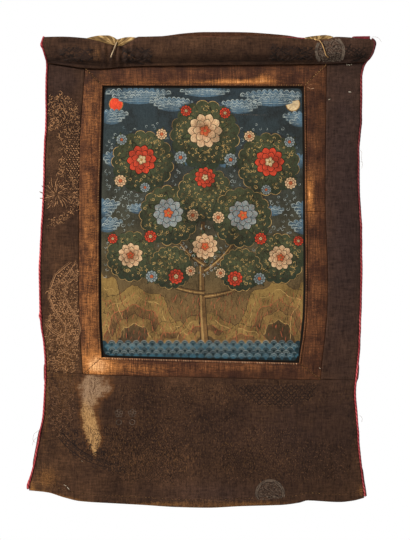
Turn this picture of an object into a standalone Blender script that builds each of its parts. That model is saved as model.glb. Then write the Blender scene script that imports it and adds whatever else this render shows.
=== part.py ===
"""A thangka scroll painting, hanging flat: painted canvas in a stitched silk frame, in a brocade mount with
red piping, a rod sleeve along the top and a thin lining behind.

Metres, +Z up, the painted face towards -Y. The origin is the middle of the top edge, which it hangs by.
The tables are in millimetres: across is to the right of the middle line, down is below the top edge, and
forward is out of the cloth, towards the viewer.
"""

import math
from collections import namedtuple

import bmesh
import bpy
import numpy as np

MM = 0.001

# ---- Thicknesses and gaps, mm --------------------------------------------------------------------------

GAP = 0.3  # between a piece and the one that it is sewn to
LINING_GAP = 0.45  # the lining hangs a little looser than the rest
SEAM = 0.25  # how far each piece stops short of a seam line
LINING = 1.0
CANVAS = 1.0
BROCADE = 1.5
SILK = 1.5  # the frame's strips
ROLLED = 1.1  # how much thicker a strip is at its rolled inner edge
TUCK = 8.0  # how far the canvas runs on under the frame
SLEEVE_WALL = 1.5
PIPING = 3.0  # its diameter
TIE = 1.4
HEM = 0.9  # how much the turned hem adds
PANEL_CLEAR = PIPING / 2 + 0.4  # from the middle of the piping to a panel's edge
SLEEVE_CLEAR = PIPING / 2 + 0.9  # and to the sleeve's ends, which flare

LINING_FRONT = LINING / 2  # the lining's middle is at forward 0
CLOTH_BACK = LINING_FRONT + LINING_GAP
PIPING_MIDDLE = CLOTH_BACK + PIPING / 2
STRIP_FRONT = CLOTH_BACK + LINING
SLEEVE_BACK = STRIP_FRONT + GAP

# ---- The outline, mm -----------------------------------------------------------------------------------

Side = namedtuple("Side", "down left right")
# The middle of the piping on each long edge.
SIDES = [
    Side(9, -289, 296),
    Side(22, -292.5, 304.5),
    Side(36, -289, 302),
    Side(47, -286, 296.5),
    Side(54, -284.5, 290),
    Side(64, -284.5, 285),
    Side(83, -285.5, 281.5),
    Side(155, -285.5, 281),
    Side(212, -288.5, 276.5),
    Side(284, -290, 277),
    Side(356, -294, 281),
    Side(437, -297.5, 281.5),
    Side(515, -295.5, 279.5),
    Side(572, -288.5, 277.5),
    Side(612, -287, 273.5),
    Side(648, -288.5, 270.5),
    Side(688, -290.5, 273),
    Side(716, -296, 275.5),
    Side(745, -301, 277),
    Side(779, -307.5, 281),
    Side(806, -314.5, 284),
    Side(824, -318, 287),
    Side(837, -319, 288.5),
]

Top = namedtuple("Top", "across lining strip sleeve")
# How far down each layer's top edge is. The lining stands up behind in a long arch, and the sleeve dips at
# the gathered tie.
TOPS = [
    Top(-292, 11.5, 14, 10),
    Top(-261, 12, 14, 9.5),
    Top(-214, 13.5, 15, 12.3),
    Top(-189, 14.5, 16, 18.6),
    Top(-167, 14.5, 16, 25),
    Top(-158, 14.5, 16, 26.9),
    Top(-149, 14.5, 16, 26.2),
    Top(-135, 13.5, 15, 19.2),
    Top(-119, 11, 13, 9.6),
    Top(-104, 10, 12, 9.4),
    Top(-72, 6.8, 9, 8.8),
    Top(-36, 2.2, 8.4, 9.2),
    Top(0, 0, 7.9, 9.4),
    Top(40, 0, 7.9, 9.3),
    Top(72, 0.4, 8.2, 8.6),
    Top(113, 2.9, 8.9, 9.9),
    Top(149, 6.2, 8.9, 11.2),
    Top(178, 11, 10.4, 13.8),
    Top(203, 12, 12.5, 15.8),
    Top(221, 12, 13.5, 13.6),
    Top(236, 12, 13.5, 9.9),
    Top(261, 12, 12.5, 11),
    Top(267, 11.5, 8, 11.8),
    Top(299, 11, 7.4, 14),
]

Foot = namedtuple("Foot", "across sleeve side")
# How far down the sleeve's lower seam is, and the seam between the side panels and the lower one.
SEAMS = [
    Foot(-292, 55.5, 610),
    Foot(-250, 61, 613),
    Foot(-216, 65.5, 616),
    Foot(-190, 66.5, 617),
    Foot(-150, 63.5, 618.5),
    Foot(-99, 61.5, 620),
    Foot(0, 60.5, 622),
    Foot(99, 59.5, 624.5),
    Foot(209, 58, 626),
    Foot(300, 54.5, 626.5),
]

Hem = namedtuple("Hem", "across down")
HEM_LINE = [
    Hem(-320, 824),
    Hem(-283, 828),
    Hem(-254, 837),
    Hem(-225, 844),
    Hem(-167, 848),
    Hem(-110, 851.5),
    Hem(-52, 855),
    Hem(5, 856),
    Hem(63, 853.5),
    Hem(135, 851.5),
    Hem(170, 847),
    Hem(184, 843),
    Hem(243, 846),
    Hem(265, 844),
    Hem(289, 838),
]

Frame = namedtuple("Frame", "down outer_left inner_left inner_right outer_right")
# The silk frame's long seams and its rolled inner edges.
FRAME = [
    Frame(60, -215, -183, 177.5, 219),
    Frame(98, -218, -184, 178, 218.5),
    Frame(216, -225.5, -187.5, 179.5, 217),
    Frame(300, -226.5, -190, 180, 216.5),
    Frame(440, -226.5, -190.5, 181, 221),
    Frame(510, -226, -190, 179.5, 219.5),
    Frame(545, -224.5, -188.5, 176.5, 216.5),
    Frame(595, -221, -185, 169.5, 210.5),
    Frame(626, -219, -183.5, 168, 208),
]

Corner = namedtuple("Corner", "outer_across outer_down inner_across inner_down")
# Each mitre runs from the frame's outer corner to its inner one.
MITRES = {
    "top_left": Corner(-215.5, 65.5, -184, 97),
    "top_right": Corner(219, 58, 178, 98),
    "bottom_left": Corner(-219.5, 616, -185.5, 585.5),
    "bottom_right": Corner(208.5, 626, 169.5, 595.5),
}
RIGHT_JOIN = 324  # the right strip is two lengths, joined here
FRAME_LIFT = 0.55  # by this share of its width, from its outer seam, a strip has lifted onto the canvas
FRAME_ROLL = 0.86  # and from this share on it is rolled
FRAME_LINES = (0, 0.3, FRAME_LIFT, FRAME_ROLL, 1)

Sliver = namedtuple("Sliver", "down left right")
# How far the lining's long edges stand outside the middle of the piping.
SLIVERS = [
    Sliver(0, -1.2, -1.2),
    Sliver(588, -1.2, -1.2),
    Sliver(603, 3.6, 3.4),
    Sliver(622, 3.4, 4),
    Sliver(640, -0.8, -1),
    Sliver(700, -0.8, -1.2),
    Sliver(722, 3.2, -1.2),
    Sliver(770, 3.4, -1),
    Sliver(792, 0, 3),
    Sliver(840, -1.2, 3.2),
]
LINING_SHORT = 2.5  # the lining ends this far above the hem

STRIP_FROM, STRIP_TO = -78, 297  # the red strip along the top edge, across
STRIP_HEIGHT = 14

HEM_SHARE = 0.93  # the lower panel is turned up from this share of its height on
SIDE_ROWS = (0, 0.01, 0.025, 0.045, 0.07, *np.linspace(0.11, 1, 22))  # closest under the sleeve's flare
LOWER_ROWS = (*np.linspace(0, 0.8, 9), HEM_SHARE - 0.01, HEM_SHARE + 0.01, 1)

Depth = namedtuple("Depth", "across forward")
# How far the sleeve's front stands out from its back.
SLEEVE_DEPTH = [
    Depth(-292, 12),
    Depth(-240, 15),
    Depth(-185, 13),
    Depth(-158, 10.5),
    Depth(-130, 12),
    Depth(-70, 15),
    Depth(60, 16),
    Depth(180, 14.5),
    Depth(204, 13),
    Depth(240, 14.5),
    Depth(304, 12),
]
SLEEVE_RIDGE = 0.36  # the sleeve stands out furthest this share of the way down it
SLEEVE_SQUARE = 0.8  # 1 is a plain ellipse, less is squarer
SLEEVE_TAPER = 0.4  # what is left of its depth at its lower seam
TAPER_FROM = 0.6
SLEEVE_FLARE = 50  # its ends follow the flared edge over this length
FRONT_STEPS, BACK_STEPS = 10, 5  # flat facets round the front wall and the back one
PINCH = -158  # where the gathered tie draws the sleeve in
PINCH_REACH = 32
PINCH_CREASE = 1.1  # the height of the creases that fan out from there
PINCH_PITCH = 13

Run = namedtuple("Run", "to step")
# How closely the sleeve's sections stand, from its left end to its right: closest at the pinch.
RUNS = [Run(-218, 24), Run(-178, 8), Run(-138, 3.25), Run(-110, 7), Run(178, 24), Run(240, 8), Run(302, 20)]

Fold = namedtuple("Fold", "across down wide long lean forward")
# The soft swells and hollows of the hanging cloth: half sizes, lean from upright in degrees, and height.
FOLDS = [
    Fold(0, 345, 150, 190, 0, 2.6),
    Fold(-262, 300, 42, 210, 1, 1.8),
    Fold(256, 360, 42, 230, -1, 2.0),
    Fold(-292, 618, 46, 62, 0, -2.2),
    Fold(276, 645, 46, 62, 0, -2.0),
    Fold(-300, 815, 56, 78, -24, 5.4),
    Fold(-190, 770, 46, 120, 5, 3.0),
    Fold(-98, 790, 46, 110, 2, -2.8),
    Fold(8, 780, 50, 130, 0, 2.8),
    Fold(112, 775, 46, 120, -3, -2.6),
    Fold(200, 775, 44, 115, -5, 3.0),
    Fold(285, 815, 44, 80, 8, -2.8),
]
FOLDS_START = 62  # the sleeve holds the cloth flat above here
FOLDS_FULL = 150

Edge = namedtuple("Edge", "across upper lower")
# The two silk ties, between the crest of the silk and the sleeve's top that they lie on.
TIE_LEFT = [
    Edge(-213, 11.2, 12),
    Edge(-203, 8.6, 14.6),
    Edge(-189, 6.4, 18.1),
    Edge(-175, 6.2, 22.3),
    Edge(-164, 9.6, 25.2),
    Edge(-158, 13.2, 26.4),
    Edge(-151, 11.6, 26),
    Edge(-142, 9.6, 22.3),
    Edge(-133, 9.2, 17.6),
    Edge(-124, 10.2, 11.6),
]
TIE_RIGHT = [
    Edge(179, 10.2, 12.9),
    Edge(189, 8.2, 14),
    Edge(203, 6.6, 15),
    Edge(216, 5.6, 13.7),
    Edge(224, 6.6, 11.8),
    Edge(231, 8.8, 10.1),
]
Tie = namedtuple("Tie", "edges columns forward gather")
# forward is how far a tie's lower edge comes out over the sleeve, and gather what its gathers add to that.
TIES = {
    "tie_left": Tie(TIE_LEFT, 18, 5.0, 2.0),
    "tie_right": Tie(TIE_RIGHT, 10, 5.5, 0.0),
}
TIE_REST = 0.4  # its crest's gap to the lining
TIE_GATHER = 9  # half the width of the gathers
TIE_THICKER = 0.8  # at the gathers

Bulge = namedtuple("Bulge", "down long more")
# Knots on the piping: half length, and what they add to its radius.
BULGES = {
    "left": [Bulge(25, 4, 0.7), Bulge(814, 9, 0.9)],
    "right": [Bulge(20, 8, 0.5)],
}
PIPING_TOP = -0.6  # where it starts, from the sleeve's top
PIPING_SHORT = 0.8  # and ends, above the hem
PIPING_CORNER = 24  # it turns with the flared lower corner over this length
SLEEVE_STEP, CLOTH_STEP, CORNER_STEP = 3.2, 16, 4  # between its points

Route = namedtuple("Route", "step across down forward")
# The thin strings: each starts at its tie and lies on the sleeve's front, down to its free end.
STRING_LEFT = [
    Route(0, -158.6, 19, 7.6),
    Route(1, -159.5, 22.5, 10),
    Route(2, -161, 27, 13.2),
    Route(3, -163.5, 33.5, 14.6),
    Route(4, -166.3, 40.5, 15.9),
    Route(5, -169, 47.5, 16),
]
STRING_RIGHT = [
    Route(0, 195.5, 13.4, 10.2),
    Route(1, 199, 15.8, 13.9),
    Route(2, 204.5, 16.8, 14.9),
    Route(3, 208.5, 21.5, 16.4),
    Route(4, 212, 29, 16.9),
    Route(5, 214.5, 36.5, 16.9),
    Route(6, 216.5, 43, 16.1),
    Route(7, 221.5, 47.7, 13.6),
]
STRING_LEFT_THICK = 2.4
STRING_RIGHT_THICK = 1.9

Finish = namedtuple("Finish", "red green blue roughness")
FINISHES = {
    "brocade": Finish(0.060, 0.032, 0.024, 0.75),
    "frame_silk": Finish(0.160, 0.070, 0.028, 0.6),
    "painted_canvas": Finish(0.120, 0.110, 0.080, 0.85),
    "lining_cloth": Finish(0.085, 0.022, 0.020, 0.85),
    "red_piping": Finish(0.450, 0.050, 0.070, 0.7),
    "tie_silk": Finish(0.400, 0.280, 0.090, 0.55),
    "tie_string": Finish(0.550, 0.430, 0.280, 0.8),
}


# ---- Curves and surfaces -------------------------------------------------------------------------------


def through(rows, key, value):
    """The smooth curve through a table's rows: one column as a function of another, level past both ends.

    Its slope at a row is the harmonic mean of the slopes on either side, or 0 where they differ in sign, so
    that it never swings past the rows.
    """
    keys = np.array([getattr(row, key) for row in rows], float)
    values = np.array([getattr(row, value) for row in rows], float)
    rises = np.diff(values) / np.diff(keys)
    before, after = rises[:-1], rises[1:]
    same_way = before * after > 0
    inner = np.where(same_way, 2 * before * after / np.where(same_way, before + after, 1), 0)
    slopes = np.concatenate([rises[:1], inner, rises[-1:]])

    def curve(at):
        at = np.clip(at, keys[0], keys[-1])
        i = np.clip(np.searchsorted(keys, at) - 1, 0, len(keys) - 2)
        step = keys[i + 1] - keys[i]
        t = (at - keys[i]) / step
        rise = values[i + 1] - values[i]
        bend_in = slopes[i] * step - rise
        bend_out = rise - slopes[i + 1] * step
        return values[i] + t * rise + t * (1 - t) * ((1 - t) * bend_in + t * bend_out)

    return curve


def shifted(curve, by):
    return lambda at: curve(at) + by


def level(value):
    return lambda at: value


def mitre(corner, key):
    """The straight line from a mitre's outer corner to its inner one, with key as what it is a function of."""
    other = {"across": "down", "down": "across"}[key]
    start, end = getattr(corner, "outer_" + key), getattr(corner, "inner_" + key)
    low, high = getattr(corner, "outer_" + other), getattr(corner, "inner_" + other)
    return lambda at: low + (high - low) * (at - start) / (end - start)


def eased(share):
    share = np.clip(share, 0, 1)
    return share * share * (3 - 2 * share)


def swell(across, down):
    """How far forward the hanging cloth stands at a place: the sum of its folds."""
    total = 0.0
    for fold in FOLDS:
        lean = math.radians(fold.lean)
        side, along = across - fold.across, down - fold.down
        over = (side * math.cos(lean) + along * math.sin(lean)) / fold.wide
        up = (along * math.cos(lean) - side * math.sin(lean)) / fold.long
        total += fold.forward * math.exp(-over * over - up * up)
    return total * eased((down - FOLDS_START) / (FOLDS_FULL - FOLDS_START))


def point(across, down, forward):
    return across * MM, -forward * MM, -down * MM


LEFT = through(SIDES, "down", "left")
RIGHT = through(SIDES, "down", "right")
LINING_TOP = through(TOPS, "across", "lining")
STRIP_TOP = through(TOPS, "across", "strip")
SLEEVE_TOP = through(TOPS, "across", "sleeve")
SLEEVE_FOOT = through(SEAMS, "across", "sleeve")
SIDE_FOOT = through(SEAMS, "across", "side")
HEM_FOOT = through(HEM_LINE, "across", "down")
OUTER_LEFT = through(FRAME, "down", "outer_left")
INNER_LEFT = through(FRAME, "down", "inner_left")
INNER_RIGHT = through(FRAME, "down", "inner_right")
OUTER_RIGHT = through(FRAME, "down", "outer_right")
SLIVER_LEFT = through(SLIVERS, "down", "left")
SLIVER_RIGHT = through(SLIVERS, "down", "right")
SLEEVE_FORWARD = through(SLEEVE_DEPTH, "across", "forward")


def rolled_edge(left, right):
    """The straight line between two mitres' inner corners, as down of across."""
    slope = (right.inner_down - left.inner_down) / (right.inner_across - left.inner_across)
    return lambda across: left.inner_down + slope * (across - left.inner_across)


WINDOW_TOP = rolled_edge(MITRES["top_left"], MITRES["top_right"])
WINDOW_BOTTOM = rolled_edge(MITRES["bottom_left"], MITRES["bottom_right"])


def placed(u, v, left, right, top, bottom):
    """The place a share u across and v down a patch: its sides are curves of down, its ends of across."""
    down = (top(left(0)) + bottom(left(0))) / 2
    across = 0.0
    for _ in range(8):
        across = left(down) + u * (right(down) - left(down))
        down = top(across) + v * (bottom(across) - top(across))
    return across, down


# ---- Making pieces -------------------------------------------------------------------------------------


def clear_scene():
    for obj in list(bpy.data.objects):
        bpy.data.objects.remove(obj, do_unlink=True)


def finish_named(name):
    """The material of that name, made the first time it is asked for."""
    material = bpy.data.materials.get(name)
    if material is None:
        look = FINISHES[name]
        material = bpy.data.materials.new(name)
        material.use_nodes = True
        shader = material.node_tree.nodes["Principled BSDF"]
        shader.inputs["Base Color"].default_value = (look.red, look.green, look.blue, 1)
        shader.inputs["Roughness"].default_value = look.roughness
        shader.inputs["Metallic"].default_value = 0.0
    return material


def collected(name, data, collection, finish):
    obj = bpy.data.objects.new(name, data)
    obj.data.materials.append(finish_named(finish))
    collection.objects.link(obj)
    return obj


def thickened(name, collection, finish, lines_u, lines_v, place, closed=False):
    """A closed solid of a sheet: a grid, extruded for its back, with every point put in its place.

    place(u, v, back) is the point at lines u and v, on the front or on the back. A closed grid's first and
    last rows meet, which makes a tube.
    """
    bm = bmesh.new()
    column, row = bm.verts.layers.int.new("column"), bm.verts.layers.int.new("row")
    columns, rows = len(lines_u) - 1, len(lines_v) - 1
    bmesh.ops.create_grid(bm, x_segments=columns, y_segments=rows, size=0.5)
    for v in bm.verts:
        v[column] = round((v.co.x + 0.5) * columns)
        v[row] = round((0.5 - v.co.y) * rows)
        v.co = place(lines_u[v[column]], lines_v[v[row]], False)
    if closed:
        bmesh.ops.remove_doubles(bm, verts=bm.verts[:], dist=1e-6)
    made = bmesh.ops.extrude_face_region(bm, geom=bm.faces[:])["geom"]
    for v in made:
        if isinstance(v, bmesh.types.BMVert):
            v.co = place(lines_u[v[column]], lines_v[v[row]], True)
    bmesh.ops.recalc_face_normals(bm, faces=bm.faces[:])
    mesh = bpy.data.meshes.new(name)
    bm.to_mesh(mesh)
    bm.free()
    mesh.shade_smooth()
    mesh.set_sharp_from_angle(angle=math.radians(40))
    return collected(name, mesh, collection, finish)


def sheet(name, collection, finish, lines_u, lines_v, edges, faces):
    """A sheet between placed()'s four edges. faces gives its (front, back) for u, v, across and down."""

    def place(u, v, back):
        across, down = placed(u, v, *edges)
        return point(across, down, faces(u, v, across, down)[1 if back else 0])

    return thickened(name, collection, finish, lines_u, lines_v, place)


def even(count):
    """Lines that part a side into this many even shares."""
    return np.linspace(0, 1, count + 1)


def tube(name, collection, finish, path, diameter, radii=None, resolution=1):
    """A round cord along a path of points, with capped ends."""
    curve = bpy.data.curves.new(name, "CURVE")
    curve.dimensions = "3D"
    curve.bevel_depth = diameter / 2 * MM
    curve.bevel_resolution = resolution
    curve.use_fill_caps = True
    spline = curve.splines.new("POLY")
    spline.points.add(len(path) - 1)
    for i, spot in enumerate(path):
        spline.points[i].co = (*spot, 1)
        spline.points[i].radius = 1 if radii is None else radii[i]
    return collected(name, curve, collection, finish)


def cloth_faces(thick, more=lambda u, v: 0.0):
    """The front and back of a panel that lies on the lining, thicker by more(u, v)."""

    def faces(u, v, across, down):
        back = CLOTH_BACK + swell(across, down)
        return back + thick + more(u, v), back

    return faces


def frame_faces(inner_share):
    """The front and back of a frame strip: it lifts over the canvas and is rolled at its inner edge.

    inner_share(u, v) is 0 at the outer seam and 1 at the inner edge.
    """

    def faces(u, v, across, down):
        share = inner_share(u, v)
        lift = (CANVAS + GAP) * eased(share / FRAME_LIFT)
        back = CLOTH_BACK + swell(across, down) + lift
        rolled = ROLLED * eased((share - FRAME_ROLL) / (1 - FRAME_ROLL))
        return back + SILK + rolled, back

    return faces


def sleeve_spot(across, angle, inset):
    """A point of the sleeve's section: (down, forward). Angle 0 is its top, and it goes round by the front.

    The section is a square-shouldered ellipse, deepest a share SLEEVE_RIDGE of the way down and thinner
    towards its lower seam, with creases in the front wall near the pinch.
    """
    top, foot = SLEEVE_TOP(across) + inset, SLEEVE_FOOT(across) - inset
    deep = SLEEVE_FORWARD(across)
    cosine, sine = math.cos(angle), math.sin(angle)
    rise = math.copysign(abs(cosine) ** SLEEVE_SQUARE, cosine)
    out = math.copysign(abs(sine) ** SLEEVE_SQUARE, sine)
    share = ((1 - rise) / 2) ** (math.log(SLEEVE_RIDGE) / math.log(0.5))
    half = deep / 2 * (1 - (1 - SLEEVE_TAPER) * eased((share - TAPER_FROM) / (1 - TAPER_FROM)))
    crease = 0.0
    if out > 0:
        near = math.exp(-(((across - PINCH) / PINCH_REACH) ** 2))
        crease = PINCH_CREASE * near * math.sin(2 * math.pi * (across - PINCH) / PINCH_PITCH) * out
    return top + share * (foot - top), SLEEVE_BACK + half + (half - inset) * out + crease


def sleeve_front(across, down):
    """How far forward the sleeve's front wall stands at a place."""
    top, foot = SLEEVE_TOP(across), SLEEVE_FOOT(across)
    share = min(max((down - top) / (foot - top), 0.0), 1.0)
    rise = 1 - 2 * share ** (math.log(0.5) / math.log(SLEEVE_RIDGE))
    cosine = min(abs(rise) ** (1 / SLEEVE_SQUARE), 1.0)
    angle = math.acos(math.copysign(cosine, rise))
    return sleeve_spot(across, angle, 0)[1]


# ---- The pieces ----------------------------------------------------------------------------------------


def make_lining(collection):
    edges = (
        lambda down: LEFT(down) - SLIVER_LEFT(down),
        lambda down: RIGHT(down) + SLIVER_RIGHT(down),
        LINING_TOP,
        shifted(HEM_FOOT, -LINING_SHORT),
    )

    def faces(u, v, across, down):
        middle = swell(across, down)
        return middle + LINING / 2, middle - LINING / 2

    sheet("lining", collection, "lining_cloth", even(24), even(30), edges, faces)


def make_top_strip(collection):
    """The red strip between the lining and the sleeve, which shows along the top edge."""
    edges = (level(STRIP_FROM), level(STRIP_TO), STRIP_TOP, shifted(STRIP_TOP, STRIP_HEIGHT))

    def faces(u, v, across, down):
        return STRIP_FRONT, CLOTH_BACK

    sheet("top_strip", collection, "red_piping", even(26), even(2), edges, faces)


def make_sleeve(collection):
    """The rod sleeve: a tube of brocade, open at both ends, whose wall is one thickness of cloth."""
    first, last = LEFT(36), RIGHT(36)
    stations = [first]
    for run in RUNS:
        count = round((min(run.to, last) - stations[-1]) / run.step)
        stations += list(np.linspace(stations[-1], min(run.to, last), count + 1)[1:])
    front = np.linspace(0, math.pi, FRONT_STEPS + 1)
    back = np.linspace(math.pi, 2 * math.pi, BACK_STEPS + 1)
    angles = [*front, *back[1:]]

    def place(across, angle, inside):
        down, forward = sleeve_spot(across, angle, SLEEVE_WALL if inside else 0.0)
        to_start = (LEFT(down) + SLEEVE_CLEAR - first) * (1 - eased((across - first) / SLEEVE_FLARE))
        to_end = (RIGHT(down) - SLEEVE_CLEAR - last) * (1 - eased((last - across) / SLEEVE_FLARE))
        return point(across + to_start + to_end, down, forward)

    thickened("top_sleeve", collection, "brocade", stations, angles, place, closed=True)


def make_panels(collection):
    left, right = shifted(LEFT, PANEL_CLEAR), shifted(RIGHT, -PANEL_CLEAR)
    under_sleeve = shifted(SLEEVE_FOOT, 2 * SEAM)
    side_foot = shifted(SIDE_FOOT, -SEAM)
    plain = cloth_faces(BROCADE)
    edges = (left, shifted(OUTER_LEFT, -SEAM), under_sleeve, side_foot)
    sheet("panel_left", collection, "brocade", even(4), SIDE_ROWS, edges, plain)
    edges = (shifted(OUTER_RIGHT, SEAM), right, under_sleeve, side_foot)
    sheet("panel_right", collection, "brocade", even(4), SIDE_ROWS, edges, plain)
    hemmed = cloth_faces(BROCADE, lambda u, v: HEM if v > HEM_SHARE else 0.0)
    edges = (left, right, shifted(SIDE_FOOT, SEAM), HEM_FOOT)
    sheet("panel_bottom", collection, "brocade", even(24), LOWER_ROWS, edges, hemmed)


def make_frame(collection):
    """The five silk strips, mitred at the corners, with a join part way down the right one."""
    outer_left, outer_right = shifted(OUTER_LEFT, SEAM), shifted(OUTER_RIGHT, -SEAM)
    inner_first = 1 - np.array(FRAME_LINES[::-1])
    from_outer, from_inner = frame_faces(lambda u, v: u), frame_faces(lambda u, v: 1 - u)
    top_left, top_right = MITRES["top_left"], MITRES["top_right"]
    bottom_left, bottom_right = MITRES["bottom_left"], MITRES["bottom_right"]

    edges = (
        outer_left,
        INNER_LEFT,
        shifted(mitre(top_left, "across"), SEAM),
        shifted(mitre(bottom_left, "across"), -SEAM),
    )
    sheet("frame_left", collection, "frame_silk", FRAME_LINES, even(20), edges, from_outer)

    edges = (
        INNER_RIGHT,
        outer_right,
        shifted(mitre(top_right, "across"), SEAM),
        level(RIGHT_JOIN - SEAM),
    )
    sheet("frame_right_upper", collection, "frame_silk", inner_first, even(10), edges, from_inner)
    edges = (
        INNER_RIGHT,
        outer_right,
        level(RIGHT_JOIN + SEAM),
        shifted(mitre(bottom_right, "across"), -SEAM),
    )
    sheet("frame_right_lower", collection, "frame_silk", inner_first, even(11), edges, from_inner)

    edges = (
        shifted(mitre(top_left, "down"), SEAM),
        shifted(mitre(top_right, "down"), -SEAM),
        shifted(SLEEVE_FOOT, 2 * SEAM),
        WINDOW_TOP,
    )
    downward = frame_faces(lambda u, v: v)
    sheet("frame_top", collection, "frame_silk", even(16), FRAME_LINES, edges, downward)
    edges = (
        shifted(mitre(bottom_left, "down"), SEAM),
        shifted(mitre(bottom_right, "down"), -SEAM),
        WINDOW_BOTTOM,
        shifted(SIDE_FOOT, -SEAM),
    )
    upward = frame_faces(lambda u, v: 1 - v)
    sheet("frame_bottom", collection, "frame_silk", even(16), inner_first, edges, upward)


def make_painting(collection):
    edges = (
        shifted(INNER_LEFT, -TUCK),
        shifted(INNER_RIGHT, TUCK),
        shifted(WINDOW_TOP, -TUCK),
        shifted(WINDOW_BOTTOM, TUCK),
    )
    sheet("painting", collection, "painted_canvas", even(12), even(16), edges, cloth_faces(CANVAS))


def make_piping(collection, side):
    """The red cord in a long edge's seam. Along the sleeve it follows the end of the sleeve's front wall."""
    edge, outward = {"left": (LEFT, -1), "right": (RIGHT, 1)}[side]
    top = SLEEVE_TOP(edge(SIDES[0].down)) + PIPING_TOP
    foot = SLEEVE_FOOT(edge(SIDES[4].down))
    last = HEM_FOOT(edge(SIDES[-1].down)) - PIPING_SHORT
    corner = last - PIPING_CORNER
    sleeve_downs = np.arange(top, foot - 2, SLEEVE_STEP)
    cloth_downs = np.arange(foot + CLOTH_STEP - 2, corner - 2, CLOTH_STEP)
    corner_downs = np.arange(corner, last + 0.1, CORNER_STEP)
    downs = [*sleeve_downs, foot + 1, foot + 5, *cloth_downs, *corner_downs]
    path, radii = [], []
    for down in downs:
        more = sum(b.more * math.exp(-(((down - b.down) / b.long) ** 2)) for b in BULGES[side])
        wall = sleeve_front(edge(down), down) - SLEEVE_WALL / 2
        on_sleeve = 1 - eased((down - foot + 6) / 9)
        forward = PIPING_MIDDLE + swell(edge(down), down)
        forward += on_sleeve * (wall - forward)
        path.append(point(edge(down) + outward * more, down, forward))
        radii.append(1 + more / (PIPING / 2))
    tube("piping_" + side, collection, "red_piping", path, PIPING, radii)


def make_tie(collection, name):
    """A strip of silk over the sleeve's top: its crest stands behind and its lower edge comes forward."""
    tie = TIES[name]
    upper, lower = through(tie.edges, "across", "upper"), through(tie.edges, "across", "lower")
    edges = (level(tie.edges[0].across), level(tie.edges[-1].across), upper, lower)

    def faces(u, v, across, down):
        gather = math.exp(-(((across - PINCH) / TIE_GATHER) ** 2))
        back = CLOTH_BACK + TIE_REST + (tie.forward + tie.gather * gather) * v**1.3
        return back + TIE + TIE_THICKER * gather, back

    sheet(name, collection, "tie_silk", even(tie.columns), even(4), edges, faces)


def make_string(collection, name, rows, thick):
    """A thin string hanging from its tie, lying on the front of the sleeve."""
    route = [through(rows, "step", value) for value in ("across", "down", "forward")]
    path = [point(*(curve(step) for curve in route)) for step in np.linspace(0, len(rows) - 1, 22)]
    tube(name, collection, "tie_string", path, thick, resolution=2)


def main():
    clear_scene()
    collection = bpy.data.collections.new("thangka")
    bpy.context.scene.collection.children.link(collection)
    make_lining(collection)
    make_top_strip(collection)
    make_sleeve(collection)
    make_panels(collection)
    make_frame(collection)
    make_painting(collection)
    for side in BULGES:
        make_piping(collection, side)
    for name in TIES:
        make_tie(collection, name)
    make_string(collection, "string_left", STRING_LEFT, STRING_LEFT_THICK)
    make_string(collection, "string_right", STRING_RIGHT, STRING_RIGHT_THICK)


main()
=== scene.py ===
# %% [markdown]
# # A thangka scroll painting, dressed
#
# The real object is a stack of cloths: a thin lining, a worn brown brocade mount, a silk frame with rolled
# edges, a painted canvas under it, and red piping down both sides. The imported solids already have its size
# and its hang. Each cell below makes one piece or one finish over them, and says how and why.

import math

import bpy
import numpy as np
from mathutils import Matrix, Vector
from mathutils.geometry import delaunay_2d_cdt


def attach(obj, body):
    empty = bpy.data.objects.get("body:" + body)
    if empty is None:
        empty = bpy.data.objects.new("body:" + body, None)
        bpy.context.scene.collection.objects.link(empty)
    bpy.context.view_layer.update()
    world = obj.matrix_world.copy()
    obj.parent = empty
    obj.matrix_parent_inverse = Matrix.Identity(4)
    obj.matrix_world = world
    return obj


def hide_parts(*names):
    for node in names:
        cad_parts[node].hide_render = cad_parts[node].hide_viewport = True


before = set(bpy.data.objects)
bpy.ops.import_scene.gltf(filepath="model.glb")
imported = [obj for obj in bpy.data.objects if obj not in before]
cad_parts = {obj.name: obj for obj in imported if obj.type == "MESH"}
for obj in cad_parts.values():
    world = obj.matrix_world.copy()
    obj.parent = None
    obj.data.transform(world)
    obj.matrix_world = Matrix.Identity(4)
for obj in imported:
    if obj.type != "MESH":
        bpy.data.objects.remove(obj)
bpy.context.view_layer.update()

# %% [markdown]
# ## Places on the cloth
#
# A hanging cloth is easiest to describe flat: how far across from the middle line, how far down from the top
# edge, and how far forward out of the wall, all in millimetres. The outlines are short tables of places where
# an edge turns, the same ones that the solids were cut from, and smooth curves run through them.

# %% Tables and curves
MM = 0.001
LINING, CANVAS, BROCADE, SILK, PIPING = 1.0, 1.0, 1.5, 1.5, 3.0  # how thick each one is
GAP, SEAM, TUCK = 0.3, 0.25, 8.0  # between layers, between neighbours, and the canvas under its frame
CLOTH_BACK = LINING / 2 + 0.45
SLEEVE_BACK = CLOTH_BACK + LINING + GAP
PIPING_MIDDLE = CLOTH_BACK + PIPING / 2
HILL = "across down wide long lean forward"  # the columns of every table of hills


def table(names, rows):
    """The columns of a short table, by name, as arrays."""
    return dict(zip(names.split(), np.array(rows, float).T))


def through(keys, values):
    """A smooth curve through points, level past both ends.

    Each stretch is a cubic. Its slope at a point is the harmonic mean of the slopes on either side, or 0
    where those differ in sign, so that the curve never swings past its points.
    """
    rises = np.diff(values) / np.diff(keys)
    before, after = rises[:-1], rises[1:]
    same = before * after > 0
    middle = np.where(same, 2 * before * after / np.where(same, before + after, 1), 0)
    slopes = np.concatenate([rises[:1], middle, rises[-1:]])

    def curve(at):
        at = np.clip(at, keys[0], keys[-1])
        i = np.clip(np.searchsorted(keys, at) - 1, 0, len(keys) - 2)
        step, rise = keys[i + 1] - keys[i], values[i + 1] - values[i]
        t = (at - keys[i]) / step
        bend = (1 - t) * (slopes[i] * step - rise) + t * (rise - slopes[i + 1] * step)
        return values[i] + t * rise + t * (1 - t) * bend

    return curve


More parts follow.
